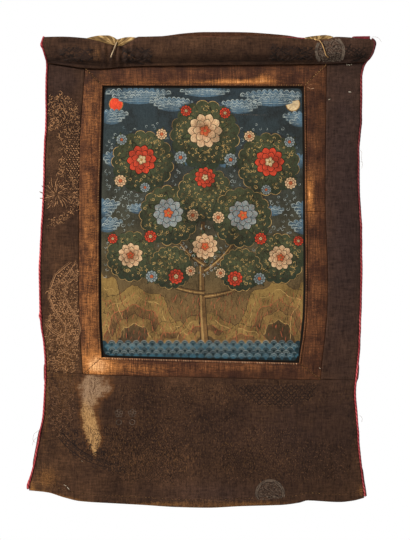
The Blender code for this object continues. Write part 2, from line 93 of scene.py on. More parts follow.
def columns(rows, key):
    """One curve for each other column of a table."""
    return {name: through(rows[key], rows[name]) for name in rows if name != key}


SIDES = table("down left right", [
    (9, -289, 296), (22, -292.5, 304.5), (36, -289, 302), (47, -286, 296.5), (54, -284.5, 290),
    (64, -284.5, 285), (83, -285.5, 281.5), (155, -285.5, 281), (212, -288.5, 276.5), (284, -290, 277),
    (356, -294, 281), (437, -297.5, 281.5), (515, -295.5, 279.5), (572, -288.5, 277.5), (612, -287, 273.5),
    (648, -288.5, 270.5), (688, -290.5, 273), (716, -296, 275.5), (745, -301, 277), (779, -307.5, 281),
    (806, -314.5, 284), (824, -318, 287), (837, -319, 288.5),
])
TOPS = table("across lining strip sleeve", [
    (-292, 11.5, 14, 10), (-261, 12, 14, 9.5), (-214, 13.5, 15, 12.3), (-189, 14.5, 16, 18.6),
    (-167, 14.5, 16, 25), (-158, 14.5, 16, 26.9), (-149, 14.5, 16, 26.2), (-135, 13.5, 15, 19.2),
    (-119, 11, 13, 9.6), (-104, 10, 12, 9.4), (-72, 6.8, 9, 8.8), (-36, 2.2, 8.4, 9.2), (0, 0, 7.9, 9.4),
    (40, 0, 7.9, 9.3), (72, 0.4, 8.2, 8.6), (113, 2.9, 8.9, 9.9), (149, 6.2, 8.9, 11.2),
    (178, 11, 10.4, 13.8), (203, 12, 12.5, 15.8), (221, 12, 13.5, 13.6), (236, 12, 13.5, 9.9),
    (261, 12, 12.5, 11), (267, 11.5, 8, 11.8), (299, 11, 7.4, 14),
])
FEET = table("across sleeve side", [
    (-292, 55.5, 610), (-250, 61, 613), (-216, 65.5, 616), (-190, 66.5, 617), (-150, 63.5, 618.5),
    (-99, 61.5, 620), (0, 60.5, 622), (99, 59.5, 624.5), (209, 58, 626), (300, 54.5, 626.5),
])
HEMS = table("across down", [
    (-320, 824), (-283, 828), (-254, 837), (-225, 844), (-167, 848), (-110, 851.5), (-52, 855), (5, 856),
    (63, 853.5), (135, 851.5), (170, 847), (184, 843), (243, 846), (265, 844), (289, 838),
])
FRAME = table("down outer_left inner_left inner_right outer_right", [
    (60, -215, -183, 177.5, 219), (98, -218, -184, 178, 218.5), (216, -225.5, -187.5, 179.5, 217),
    (300, -226.5, -190, 180, 216.5), (440, -226.5, -190.5, 181, 221), (510, -226, -190, 179.5, 219.5),
    (545, -224.5, -188.5, 176.5, 216.5), (595, -221, -185, 169.5, 210.5), (626, -219, -183.5, 168, 208),
])
SLIVERS = table("down left right", [
    (0, -1.2, -1.2), (588, -1.2, -1.2), (603, 3.6, 3.4), (622, 3.4, 4), (640, -0.8, -1), (700, -0.8, -1.2),
    (722, 3.2, -1.2), (770, 3.4, -1), (792, 0, 3), (840, -1.2, 3.2),
])
DEPTHS = table("across forward", [
    (-292, 12), (-240, 15), (-185, 13), (-158, 10.5), (-130, 12), (-70, 15), (60, 16), (180, 14.5),
    (204, 13), (240, 14.5), (304, 12),
])
FOLDS = table(HILL, [
    (0, 345, 150, 190, 0, 2.6), (-262, 300, 42, 210, 1, 1.8), (256, 360, 42, 230, -1, 2.0),
    (-292, 618, 46, 62, 0, -2.2), (276, 645, 46, 62, 0, -2.0), (-300, 815, 56, 78, -24, 5.4),
    (-190, 770, 46, 120, 5, 3.0), (-98, 790, 46, 110, 2, -2.8), (8, 780, 50, 130, 0, 2.8),
    (112, 775, 46, 120, -3, -2.6), (200, 775, 44, 115, -5, 3.0), (285, 815, 44, 80, 8, -2.8),
])
# The frame's mitres, each from its outer corner to its inner one: across, down, across, down.
TOP_LEFT, TOP_RIGHT = (-215.5, 65.5, -184, 97), (219, 58, 178, 98)
BOTTOM_LEFT, BOTTOM_RIGHT = (-219.5, 616, -185.5, 585.5), (208.5, 626, 169.5, 595.5)
RIGHT_JOIN = 324

SIDE, TOP, FOOT, SILKS, SLIVER = (columns(rows, key) for rows, key in (
    (SIDES, "down"), (TOPS, "across"), (FEET, "across"), (FRAME, "down"), (SLIVERS, "down")))
HEM_FOOT = through(HEMS["across"], HEMS["down"])
SLEEVE_FORWARD = through(DEPTHS["across"], DEPTHS["forward"])
print("outline tables:", len(SIDES["down"]), "rows down the sides,", len(HEMS["down"]), "along the hem")

# %% [markdown]
# ## The hang of the cloth
#
# Every layer follows the same soft swells, or they would cut through one another. The swells are a sum of
# leaned Gaussian hills. On top of them go narrow troughs, left by years of rolling up and by the pull of the
# seams, and a slow uneven ripple, so that no stretch of cloth is dead flat.

# %% Swells, creases and ripple
CREASES = table(HILL, [
    (-255, 392, 60, 3.0, 3, -0.35), (245, 300, 60, 3.2, -4, -0.35), (-30, 700, 210, 3.6, 1, -0.4),
    (60, 742, 190, 3.4, -2, 0.35), (-120, 812, 120, 3.2, 2, -0.4), (-262, 655, 5, 42, 6, 0.6),
    (-240, 640, 4, 34, 3, -0.5), (-150, 800, 4.5, 52, 5, -0.55), (-60, 815, 4.5, 45, -3, 0.5),
    (40, 805, 4.2, 50, 4, -0.5), (150, 800, 4.5, 52, -5, 0.55), (232, 790, 4.5, 60, -7, -0.6),
    (-292, 760, 4.5, 44, 14, -0.6), (262, 690, 4, 52, -3, 0.5), (-252, 150, 4, 52, 2, -0.3),
    (262, 150, 4, 60, 1, 0.35), (240, 560, 4, 42, -3, -0.35), (-244, 575, 4, 36, 4, 0.4),
    (0, 200, 160, 3.0, 1, -0.22), (20, 470, 160, 3.2, -1, -0.22), (-60, 330, 120, 2.8, 2, 0.2),
])
RIPPLE = 0.16
HELD, FREE = 62, 150  # flat above the first, at the sleeve's seam, and hanging freely below the second


def eased(share):
    """0 below 0, 1 above 1, and a smooth s between."""
    share = np.clip(share, 0, 1)
    return share * share * (3 - 2 * share)


def hills(rows, across, down):
    """The sum of a table's leaned Gaussian hills: each forward * exp(-(side/wide)^2 - (along/long)^2)."""
    total = np.zeros(np.broadcast(across, down).shape)
    for x, y, wide, long, lean, forward in zip(*rows.values()):
        cosine, sine = math.cos(math.radians(lean)), math.sin(math.radians(lean))
        over = ((across - x) * cosine + (down - y) * sine) / wide
        up = ((down - y) * cosine - (across - x) * sine) / long
        total += forward * np.exp(-over * over - up * up)
    return total


def hang(across, down):
    """How far forward the cloth hangs: swells, creases and ripple, held flat above the sleeve's seam."""
    free = eased((down - HELD) / (FREE - HELD))
    ripple = np.sin(across / 17 + 1.4 * np.sin(down / 43)) * np.sin(down / 21 + 1.1 * np.sin(across / 57))
    return free * (hills(FOLDS, across, down) + hills(CREASES, across, down) + RIPPLE * ripple)


def spots(across, down, forward):
    """Points in metres of places on the cloth."""
    return np.stack(np.broadcast_arrays(across * MM, -forward * MM, -down * MM), -1)


def shifted(curve, by):
    return lambda at: curve(at) + by


def level(value):
    return lambda at: value + 0 * at


def line(x0, y0, x1, y1):
    """The straight line through two points, y as a function of x."""
    return lambda at: y0 + (y1 - y0) * (at - x0) / (x1 - x0)


def mitre(corner, key):
    """A mitre's line, as down of across, or as across of down."""
    a, b, c, d = corner
    return line(a, b, c, d) if key == "across" else line(b, a, d, c)


def place(u, v, edges):
    """The place a share u across and v down a patch: its sides are curves of down, its ends of across."""
    left, right, top, bottom = edges
    down = np.full(np.broadcast(u, v).shape, float(top(left(0.0)) + bottom(left(0.0))) / 2)
    for _ in range(8):
        across = left(down) + u * (right(down) - left(down))
        down = top(across) + v * (bottom(across) - top(across))
    return across, down


WINDOW_TOP = line(TOP_LEFT[2], TOP_LEFT[3], TOP_RIGHT[2], TOP_RIGHT[3])
WINDOW_BOTTOM = line(BOTTOM_LEFT[2], BOTTOM_LEFT[3], BOTTOM_RIGHT[2], BOTTOM_RIGHT[3])
print("the cloth hangs from", round(float(hang(-300.0, 815.0)), 1), "mm forward at its lower left corner")

# %% [markdown]
# ## Camera, light and floor
#
# The scroll was photographed square on, from far off, so the lens is long. One broad lamp high on the left
# rakes over the weave, a weaker one fills from the right, and a third lights the back for whoever walks
# round. The room is white, and the floor is far enough below a hanging cloth to stay out of the picture.

# %% Camera, lamps, room and floor
PIXEL, ROWS, TOP_ROW = 1.8 * MM, 540, 32  # a pixel on the cloth, the picture's rows, the scroll's top row
MIDDLE = Vector((0, 0, -(ROWS / 2 - TOP_ROW) * PIXEL))
CAMERA_AWAY, SENSOR = 3.4, 36


def aimed(obj, at):
    """Points an object's -Z axis at a place."""
    obj.rotation_euler = (at - obj.location).to_track_quat("-Z", "Y").to_euler()
    bpy.context.scene.collection.objects.link(obj)
    return obj


def lamp(name, where, size, watts, colour):
    data = bpy.data.lights.new(name, "AREA")
    data.shape, data.size, data.energy, data.color = "DISK", size, watts, colour
    obj = bpy.data.objects.new(name, data)
    obj.location = where
    return aimed(obj, MIDDLE)


camera_data = bpy.data.cameras.new("camera")
camera_data.sensor_width = SENSOR
camera_data.lens = SENSOR * CAMERA_AWAY / (ROWS * PIXEL)
camera = bpy.data.objects.new("camera", camera_data)
camera.location = MIDDLE + Vector((0, -CAMERA_AWAY, 0))
bpy.context.scene.camera = aimed(camera, MIDDLE)

lamp("key_lamp", (-2.6, -1.5, 1.7), 0.7, 250, (1.0, 0.96, 0.9))
lamp("fill_lamp", (2.2, -2.6, 0.2), 1.6, 16, (0.94, 0.97, 1.0))
lamp("back_lamp", (0.8, 3.0, 1.2), 1.6, 90, (1.0, 0.98, 0.95))


def white_room(soft):
    """A room that looks white but sheds only a soft share of that light, so that folds keep their shade."""
    world = bpy.data.worlds.new("room")
    world.use_nodes = True
    nodes, links = world.node_tree.nodes, world.node_tree.links
    seen = nodes.new("ShaderNodeLightPath")
    strength = nodes.new("ShaderNodeMapRange")
    strength.inputs["To Min"].default_value = soft
    links.new(seen.outputs["Is Camera Ray"], strength.inputs["Value"])
    links.new(strength.outputs["Result"], nodes["Background"].inputs["Strength"])
    nodes["Background"].inputs["Color"].default_value = (1, 1, 1, 1)
    bpy.context.scene.world = world


def lay_floor(low=-1.56, reach=2.4):
    """A plain matt floor, well below the hanging cloth. Its back corners curl up a little, as paper does."""
    side = np.linspace(-reach, reach, 25)
    x, y = np.meshgrid(side, side)
    z = low + 0.02 * (np.hypot(x, y) / reach) ** 4
    mesh = bpy.data.meshes.new("studio_floor")
    ids = np.arange(x.size).reshape(x.shape)
    quads = np.stack([ids[:-1, :-1], ids[:-1, 1:], ids[1:, 1:], ids[1:, :-1]], -1).reshape(-1, 4)
    mesh.from_pydata(np.stack([x, y, z], -1).reshape(-1, 3).tolist(), [], quads.tolist())
    matt = bpy.data.materials.new("pale_floor")
    matt.use_nodes = True
    matt.node_tree.nodes["Principled BSDF"].inputs["Base Color"].default_value = (0.78, 0.78, 0.77, 1)
    matt.node_tree.nodes["Principled BSDF"].inputs["Roughness"].default_value = 0.9
    mesh.materials.append(matt)
    floor = bpy.data.objects.new("studio_floor", mesh)
    bpy.context.scene.collection.objects.link(floor)


white_room(0.27)
lay_floor()
bpy.context.scene.view_settings.view_transform = "Standard"
print("lens:", round(camera_data.lens), "mm")

# %% [markdown]
# ## Sums on shader values
#
# A material is a web of nodes, but most of what it says is arithmetic: this noise times that mask, one minus
# the wear. So a small class wraps a node's output and takes part in ordinary Python sums, and one method adds
# any other node. Numbers that stay the same all over a piece are set straight on their sockets.

# %% Wires and graphs


class Wire:
    """One output of a shader node. Sums on it add Math nodes, such as 1 - wire or wire * 0.5."""

    def __init__(self, graph, socket):
        self.graph, self.socket = graph, socket

    def math(self, operation, *values):
        return self.graph.node("Math", {"operation": operation}, dict(enumerate(values)))

    def __add__(self, other):
        return self.math("ADD", self, other)

    def __sub__(self, other):
        return self.math("SUBTRACT", self, other)

    def __rsub__(self, other):
        return self.math("SUBTRACT", other, self)

    def __mul__(self, other):
        return self.math("MULTIPLY", self, other)

    __radd__, __rmul__ = __add__, __mul__

    def sine(self):
        return self.math("SINE", self)

    def soft(self, low, high):
        """0 below low, 1 above high, and a smooth s between."""
        ends = {"Value": self, "From Min": low, "From Max": high}
        return self.graph.node("MapRange", {"interpolation_type": "SMOOTHSTEP"}, ends)


class Graph:
    """A material under way. Sizes are in millimetres."""

    def __init__(self, name):
        self.material = bpy.data.materials.new(name)
        self.material.use_nodes = True
        self.tree = self.material.node_tree
        self.tree.nodes.clear()
        self.spot = self.node("TexCoord", {}, {}, "Object")
        self.cloth = self.node("UVMap", {"uv_map": "cloth"}, {})

    def node(self, kind, settings, values, output=0):
        """Adds one node: its settings first, then what its sockets hold or are linked to."""
        made = self.tree.nodes.new("ShaderNode" + kind)
        for key, value in settings.items():
            setattr(made, key, value)
        for key, value in values.items():
            if isinstance(value, Wire):
                self.tree.links.new(value.socket, made.inputs[key])
            else:
                made.inputs[key].default_value = value
        return Wire(self, made.outputs[output])

    def noise(self, size, stretch=(1, 1, 1), detail=3.0, on=None):
        """Soft noise from 0 to 1 whose lumps are about size across, longer where stretch is over 1."""
        scale = tuple(1 / (size * MM * s) for s in stretch)
        scaled = self.node("Mapping", {}, {"Vector": on or self.spot, "Scale": scale})
        return self.node("TexNoise", {}, {"Vector": scaled, "Scale": 1.0, "Detail": detail, "Roughness": 0.6})

    def cell_edges(self, size):
        """How far it is to the nearest edge of Voronoi cells that are about size across."""
        values = {"Vector": self.spot, "Scale": 1 / (size * MM)}
        return self.node("TexVoronoi", {"feature": "DISTANCE_TO_EDGE"}, values)

    def attribute(self, name, output="Fac"):
        return self.node("Attribute", {"attribute_name": name}, {}, output)

    def mixed(self, first, second, share, blend="MIX"):
        """Two colours, each a link or a code such as 'a07040', mixed by a share from 0 to 1."""
        first, second = (tint(colour) if isinstance(colour, str) else colour for colour in (first, second))
        settings = {"data_type": "RGBA", "blend_type": blend, "clamp_factor": True}
        return self.node("Mix", settings, {0: share, 6: first, 7: second}, 2)

    def shaded(self, colour, share):
        """A colour made darker below a share of 0.5 and lighter above it."""
        grey = self.node("CombineColor", {}, {"Red": share, "Green": share, "Blue": share})
        return self.mixed(colour, grey, 1.0, "OVERLAY")

    def weave(self, pitch):
        """The height of a plain weave, from 0 to 1: sin(x) * sin(y), a thread every pitch either way."""
        turns = math.pi / (pitch * MM)
        wobble = self.noise(9, detail=1.0) * (0.8 * pitch * MM)
        x, y = (self.node("SeparateXYZ", {}, {"Vector": self.cloth}, axis) + wobble for axis in "XY")
        return (x * turns).sine() * (y * turns).sine() * 0.5 + 0.5

    def bumped(self, *heights):
        """A normal from pairs of height and depth in mm, one over the other."""
        normal = None
        for height, depth in heights:
            values = {"Height": height, "Distance": depth * MM, "Strength": 1.0}
            if normal is not None:
                values["Normal"] = normal
            normal = self.node("Bump", {}, values)
        return normal

    def finish(self, colour, roughness, normal, gloss):
        """Ends the graph in one Principled shader and returns the material."""
        values = {"Base Color": colour, "Roughness": roughness, "Normal": normal, "Specular IOR Level": gloss}
        shader = self.node("BsdfPrincipled", {}, values)
        out = self.tree.nodes.new("ShaderNodeOutputMaterial")
        self.tree.links.new(shader.socket, out.inputs["Surface"])
        return self.material


def tint(code):
    """A screen colour such as 'a07040' as light, which is what shaders add and multiply."""
    parts = [int(code[i:i + 2], 16) / 255 for i in (0, 2, 4)]
    return (*[p / 12.92 if p < 0.04045 else ((p + 0.055) / 1.055) ** 2.4 for p in parts], 1.0)


# %% [markdown]
# ## The brocade
#
# Old brocade is dark, matt and uneven: soft patches where the dye has gone, streaks along the threads, a
# grain of slubs, and bare golden ground where hands and edges have rubbed it. Where the cloth is worn or
# stained is painted on each piece as a value on its points, and the shader breaks those soft shapes up with
# noise, so that they end along the threads as real wear does.

# %% Brocade


def brocade():
    g = Graph("worn_brocade")
    drifts = g.noise(150, detail=2.0)
    patches = g.noise(42, detail=4.0)
    slubs = g.noise(3.0, (5, 1, 1))
    streaks = g.noise(2.4, (1, 1, 8))
    mottle = g.noise(4.5, (1, 1, 2.2), 4.0)
    grain = g.noise(1.3)
    flecks = g.noise(2.6, (0.7, 1, 1.5), 4.0)
    flecked = g.attribute("fleck")
    colour = g.mixed("302018", "4c3424", (patches * 0.6 + drifts * 0.6 - 0.1).soft(0.3, 0.75))
    colour = g.mixed(colour, "3a2c2a", g.attribute("cool"))
    colour = g.shaded(colour, (slubs + streaks) * 0.75 + mottle * 0.5 + grain * 0.4 - 0.71)
    colour = g.mixed(colour, "150d0a", (1 - flecks).soft(0.48, 0.66) * flecked * 0.85)
    colour = g.mixed(colour, "7c5832", flecks.soft(0.55, 0.72) * flecked * 0.75)
    rough_edge = (grain - 0.5) * 0.5 + (streaks - 0.5) * 0.5 + (slubs - 0.5) * 0.5
    # On the sleeve, worn also holds a painted highlight along the tops of its folds.
    worn = (g.attribute("worn") + rough_edge * 1.1).soft(0.1, 1.1)
    bare = g.mixed("664022", "9a6c3a", grain.soft(0.35, 0.7))
    colour = g.mixed(colour, bare, worn)
    threads = (grain * 0.9 + streaks * 0.6 + flecks * 0.5).soft(0.94, 1.14)
    low = (g.node("SeparateXYZ", {}, {"Vector": g.spot}, "Z") * -1).soft(0.64, 0.71)
    golden = (low * 0.7 + g.noise(16) * 0.6).soft(0.3, 0.9)
    pale = g.mixed(g.mixed("94785e", "b08858", golden), "432c1e", threads * 0.85)
    wavy = g.attribute("stain") + rough_edge * 0.9 + (g.noise(13) - 0.5) * 0.9
    halo = (wavy + patches - 0.5).soft(0.02, 0.5) * g.attribute("stain").soft(0.02, 0.2)
    colour = g.mixed(colour, "6a4222", halo * 0.55)
    colour = g.mixed(colour, pale, wavy.soft(0.3, 0.66) * 0.92)
    # Soil, and painted shade on and under the sleeve and in its creases, darken the cloth.
    colour = g.mixed(colour, "1e1410", g.attribute("soil") * 0.8)
    normal = g.bumped((slubs * 0.5 + streaks * 0.5, 0.6), (flecks * flecked, 0.5), (g.weave(0.55), 0.2))
    return g.finish(colour, 0.85, normal, 0.08)


BROCADE_FINISH = brocade()
print("brocade nodes:", len(BROCADE_FINISH.node_tree.nodes))

# %% [markdown]
# ## Frame silk, lining, piping, ties, strings and paint
#
# The frame's silk is ribbed and has faded from copper to orange where the light fell on it. The lining is a
# plain cotton. The piping and the strings are twisted: painted shade darkens their furrows and a painted
# highlight lights their crests, from a value that each cord carries round its section. The paint is a matt
# distemper: flat colour that has worn through at the creases and gathered soot.

# %% The other finishes


def frame_silk():
    g = Graph("faded_frame_silk")
    patches = g.noise(34, detail=4.0)
    ribs = g.noise(2.3, (6, 1, 1), on=g.cloth)
    slubs = g.noise(2.6, (1, 12, 1), on=g.cloth)
    grain = g.noise(1.2)
    rough_edge = (patches - 0.5) * 0.35 + (ribs - 0.5) * 0.4 + (slubs - 0.5) * 0.5 + (grain - 0.5) * 0.6
    faded = (g.attribute("worn") + rough_edge).soft(0.02, 1.12)
    colour = g.mixed("3b2115", "5a3620", patches.soft(0.35, 0.65))
    colour = g.mixed(colour, "c07c40", faded)
    colour = g.mixed(colour, "d8a678", faded.soft(0.6, 1.0) * 0.55)
    colour = g.shaded(colour, ribs * 0.8 + slubs * 1.0 + grain * 0.9 - 0.85)
    # Soil, and painted shade under the sleeve and along the seams.
    colour = g.mixed(colour, "1c100b", g.attribute("soil") * 0.85)
    normal = g.bumped((ribs * 0.6 + slubs * 0.4, 0.55), (g.weave(0.5), 0.16))
    return g.finish(colour, 0.7, normal, 0.12)


def plain_cotton(name, dark, light):
    g = Graph(name)
    patches = g.noise(110)
    slubs = g.noise(1.8, (9, 1, 1))
    ends = g.noise(1.8, (1, 1, 9))
    grain = g.noise(1.0, detail=2.0)
    colour = g.mixed(dark, light, (patches * 0.5 + slubs * 0.35 + ends * 0.35).soft(0.3, 0.9))
    colour = g.shaded(colour, slubs * 0.6 + ends * 0.6 + grain * 0.4 - 0.3)
    # Soil, and painted shade such as the lining's seam shadows.
    colour = g.mixed(colour, "1e120c", g.attribute("soil") * 0.7)
    normal = g.bumped((slubs + ends, 0.4), (g.weave(0.7), 0.25))
    return g.finish(colour, 0.88, normal, 0.08)


def twisted(name, deep, fill, crest, size=45):
    """A cord's finish: painted shade, deep, in the furrows between its strands, and a painted highlight,
    crest, on top of them.
    """
    g = Graph(name)
    height = g.attribute("crest")
    patches = g.noise(size)
    grain = g.noise(0.8, detail=2.0)
    colour = g.mixed(deep, fill, (height + (grain - 0.5) * 0.5).soft(0.0, 0.7))
    on_top = (height * 0.5 + patches * 0.9 + (grain - 0.5) * 0.5 - 0.3).soft(0.4, 1.0)
    colour = g.shaded(g.mixed(colour, crest, on_top), patches * 0.6 + grain * 0.3 + 0.05)
    # Soil, and on the right piping painted shade.
    colour = g.mixed(colour, "220d0e", g.attribute("soil") * 0.85)
    normal = g.bumped((g.noise(0.5, (1, 1, 3), 2.0), 0.15))
    return g.finish(colour, 0.78, normal, 0.15)


def gathered_silk():
    g = Graph("old_tie_silk")
    folds = g.attribute("crest")
    streaks = g.noise(1.5, (6, 1, 1), on=g.cloth)
    patches = g.noise(9)
    # Painted light and shade: the silk is lighter on the crests of its folds and darker between them.
    lit = (folds * 0.45 + streaks * 0.5 + patches * 0.35).soft(0.25, 0.95)
    colour = g.mixed("2f210f", "86683c", lit)
    colour = g.mixed(colour, "c0a472", (folds * 0.5 + patches * 0.8 - 0.2).soft(0.45, 1.0))
    colour = g.shaded(colour, streaks * 0.6 + 0.2)
    normal = g.bumped((streaks, 0.2), (g.weave(0.45), 0.1))
    return g.finish(colour, 0.6, normal, 0.15)


def line_finish(name, deep, bright):
    """The finish of raised lines: painted shade where they sink in, a painted highlight on their crests,
    and no two alike.
    """
    g = Graph(name)
    share = g.attribute("crest") + g.noise(24) * 0.7 + g.noise(1.3, detail=2.0) * 0.7 - 0.7
    colour = g.mixed(deep, bright, share.soft(0.05, 0.95))
    normal = g.bumped((g.noise(0.5, (3, 1, 1), 2.0), 0.12))
    return g.finish(colour, 0.75, normal, 0.12)


def distemper():
    g = Graph("distemper_on_canvas")
    paint = g.attribute("paint", "Color")
    soot = g.noise(40, detail=4.0)
    grain = g.noise(1.4, detail=4.0)
    streaks = g.noise(2.2, (1, 1, 5), 2.0)
    rolled = g.noise(3.5, (26, 1, 1))
    cracks = 1 - g.cell_edges(7).soft(0.0, 0.06)
    colour = g.shaded(paint, grain * 0.9 + streaks * 0.4 - 0.15)
    colour = g.mixed(colour, "1d1710", soot.soft(0.4, 0.72) * 0.5)
    chipped = (g.attribute("worn") + (grain - 0.5) * 1.1 + (rolled - 0.5) * 0.9).soft(0.42, 0.85)
    colour = g.mixed(colour, "8a6a46", chipped * 0.75)
    colour = g.mixed(colour, "140f0b", cracks * soot.soft(0.35, 0.6) * 0.4)
    normal = g.bumped((rolled * 0.5 + grain * 0.5, 0.3), (g.weave(0.8), 0.15))
    return g.finish(colour, 0.85, normal, 0.08)


SILK_FINISH = frame_silk()
LINING_FINISH = plain_cotton("lining_cotton", "3a2116", "61402c")
STRIP_FINISH = plain_cotton("red_strip_silk", "561a1f", "84343a")
PIPING_FINISH = twisted("red_piping_cord", "4c161c", "943036", "c26462")
STRING_FINISH = twisted("pale_string", "5e4a36", "9c866a", "bda88a", size=9)
TWINE_FINISH = twisted("tan_string", "5a3f24", "a07848", "c8a878", size=9)
TIE_FINISH = gathered_silk()
FIGURE_FINISH = line_finish("raised_figure_silk", "26150f", "a07652")
FAINT_FINISH = line_finish("faint_figure_silk", "2c1c15", "664832")
DARK_FINISH = line_finish("dark_figure_silk", "120b08", "2a1c15")
PALE_FINISH = line_finish("pale_figure_silk", "2e2520", "5a4c40")
ROUNDEL_FINISH = line_finish("pale_sleeve_silk", "382e27", "63564a")
PAINT_FINISH = distemper()
THREAD_FINISH = twisted("dark_sewing_thread", "3a2716", "70502e", "9c7a4c", size=20)
PALE_THREAD = twisted("pale_sewing_thread", "7a5238", "b98f6c", "dcb896", size=20)
WHITE_THREAD = twisted("white_sewing_thread", "8a7c68", "c9bda6", "e6dcc8", size=8)
BRUSHES = {name: line_finish(name + "_line_paint", deep, bright) for name, deep, bright in (
    ("gold", "5a4424", "b8955c"), ("mist", "53646a", "a3aaa4"), ("dark", "140f0b", "33241a"),
    ("rust", "5e2417", "a0553a"))}
print("finishes:", len(bpy.data.materials))

# %% [markdown]
# ## Grids into meshes
#
# Every cloth here is a grid of points with a front, a back and a rim, so that it is closed and has a real
# thickness. Numpy works out all the points of a grid at once and foreach_set hands them to the mesh in one
# go, which is far quicker than adding faces one by one.

# %% Meshes and shells


def mesh_piece(name, points, faces, finish, values=None, cloth=None, crease=55):
    """A piece from points and arrays of faces, each row of which holds the corners of one face."""
    mesh = bpy.data.meshes.new(name)
    points = points.reshape(-1, 3)
    corners = np.concatenate([rows.ravel() for rows in faces]).astype(np.int32)
    sizes = np.concatenate([np.full(len(rows), rows.shape[1]) for rows in faces])
    mesh.vertices.add(len(points))
    mesh.vertices.foreach_set("co", points.astype(np.float32).ravel())
    mesh.loops.add(len(corners))
    mesh.loops.foreach_set("vertex_index", corners)
    mesh.polygons.add(len(sizes))
    mesh.polygons.foreach_set("loop_start", (np.cumsum(sizes) - sizes).astype(np.int32))
    mesh.update(calc_edges=True)
    for key, value in (values or {}).items():
        data = mesh.attributes.new(key, "FLOAT", "POINT").data
        data.foreach_set("value", np.asarray(value, np.float32).ravel())
    if cloth is not None:
        data = mesh.uv_layers.new(name="cloth").data
        data.foreach_set("uv", cloth.reshape(-1, 2)[corners].astype(np.float32).ravel())
    mesh.shade_smooth()
    mesh.set_sharp_from_angle(angle=math.radians(crease))
    mesh.materials.append(finish)
    piece = bpy.data.objects.new(name, mesh)
    bpy.context.scene.collection.objects.link(piece)
    return piece


def dress(piece, slot, *nodes):
    """Fixes a piece to the cloth's body, in the place of its solids, which it hides. slot is not used."""
    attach(piece, "root")
    if nodes:
        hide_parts(*nodes)
    return piece


def grid_faces(rows, columns, start=0):
    """The quads of a grid of points, facing whoever sees its rows go down and its columns go right."""
    ids = start + np.arange(rows * columns).reshape(rows, columns)
    a, b, c, d = ids[:-1, :-1], ids[:-1, 1:], ids[1:, 1:], ids[1:, :-1]
    return np.stack([a, d, c, b], -1).reshape(-1, 4)


def shell(name, front, back, finish, values, cloth):
    """A closed sheet: a front and a back grid of points with the same rows and columns, and a rim."""
    rows, columns = front.shape[:2]
    count = rows * columns
    ids = np.arange(count).reshape(rows, columns)
    ring = np.concatenate([ids[0, :-1], ids[:-1, -1], ids[-1, :0:-1], ids[:0:-1, 0]])
    onward = np.roll(ring, -1)
    rim = np.stack([ring, onward, onward + count, ring + count], 1)
    faces = [grid_faces(rows, columns), grid_faces(rows, columns, count)[:, ::-1], rim]
    shape = front.shape[:2]
    values = {key: np.tile(np.broadcast_to(value, shape).ravel(), 2) for key, value in values.items()}
    cloth = np.tile(cloth.reshape(-1, 2), (2, 1))
    return mesh_piece(name, np.concatenate([front, back]), faces, finish, values, cloth)


LIP = (0, 0.35, 0.8, 1.5, 2.5)


def shares(length, step, lips=LIP):
    """Shares from 0 to 1, a step of millimetres apart, and closer together at both ends."""
    ends = np.array(lips)
    count = round((length - 2 * ends[-1]) / step) + 1
    inner = np.linspace(ends[-1], length - ends[-1], count)
    return np.concatenate([ends[:-1], inner, length - ends[-2::-1]]) / length


def to_edges(across, down, edges):
    """How far a place is from each of a patch's edges: left, right, top, bottom."""
    left, right, top, bottom = edges
    return across - left(down), right(down) - across, down - top(across), bottom(across) - down


def to_nearest(across, down, edges):
    """How far a place is from the nearest of a patch's edges."""
    return np.minimum.reduce(to_edges(across, down, edges))


def shoulder(distance, reach=2.5, lowest=0.35):
    """A cloth's thickness as it turns down into a seam: a quarter round, from lowest up to 1."""
    left = 1 - np.clip(distance / reach, 0, 1)
    return lowest + (1 - lowest) * np.sqrt(1 - left * left)


def pucker(distance, along):
    """Small gathers square to a seam: 0.2 * exp(-distance / 5) * sin(along / 2.3 + 2 sin(along / 9))."""
    return 0.2 * np.exp(-distance / 5) * np.sin(along / 2.3 + 2 * np.sin(along / 9))


def patch(name, edges, us, vs, faces, finish, values):
    """A cloth between four edges. faces(across, down, u, v) gives how far forward its front and back are.

    Returns the piece, with its cut measured over the folds of its back: width, length and area, in metres.
    """
    u, v = np.meshgrid(us, vs)
    across, down = place(u, v, edges)
    front, back = faces(across, down, u, v)
    cloth = np.stack([across, -down], -1) * MM
    painted = {key: value(across, down) for key, value in values.items()}
    piece = shell(name, spots(across, down, front), spots(across, down, back), finish, painted, cloth)
    under = spots(across, down, back)
    slant, drop = under[1:, 1:] - under[:-1, :-1], under[1:, :-1] - under[:-1, 1:]
    area = np.linalg.norm(np.cross(slant, drop), axis=-1).sum() / 2
    lengths = [np.linalg.norm(np.diff(under, axis=axis), axis=-1).sum(axis).max() for axis in (1, 0)]
    cut = {"flat": tuple(float(length) for length in lengths), "area": float(area)}
    print(f"{name}: {len(piece.data.polygons)} faces, cut {cut['flat'][0]:.3f} x {cut['flat'][1]:.3f} m")
    return piece, cut


def hung(made, slot, node, *rests_on):
    piece, cut = made
    dress(piece, slot, node)
    return piece
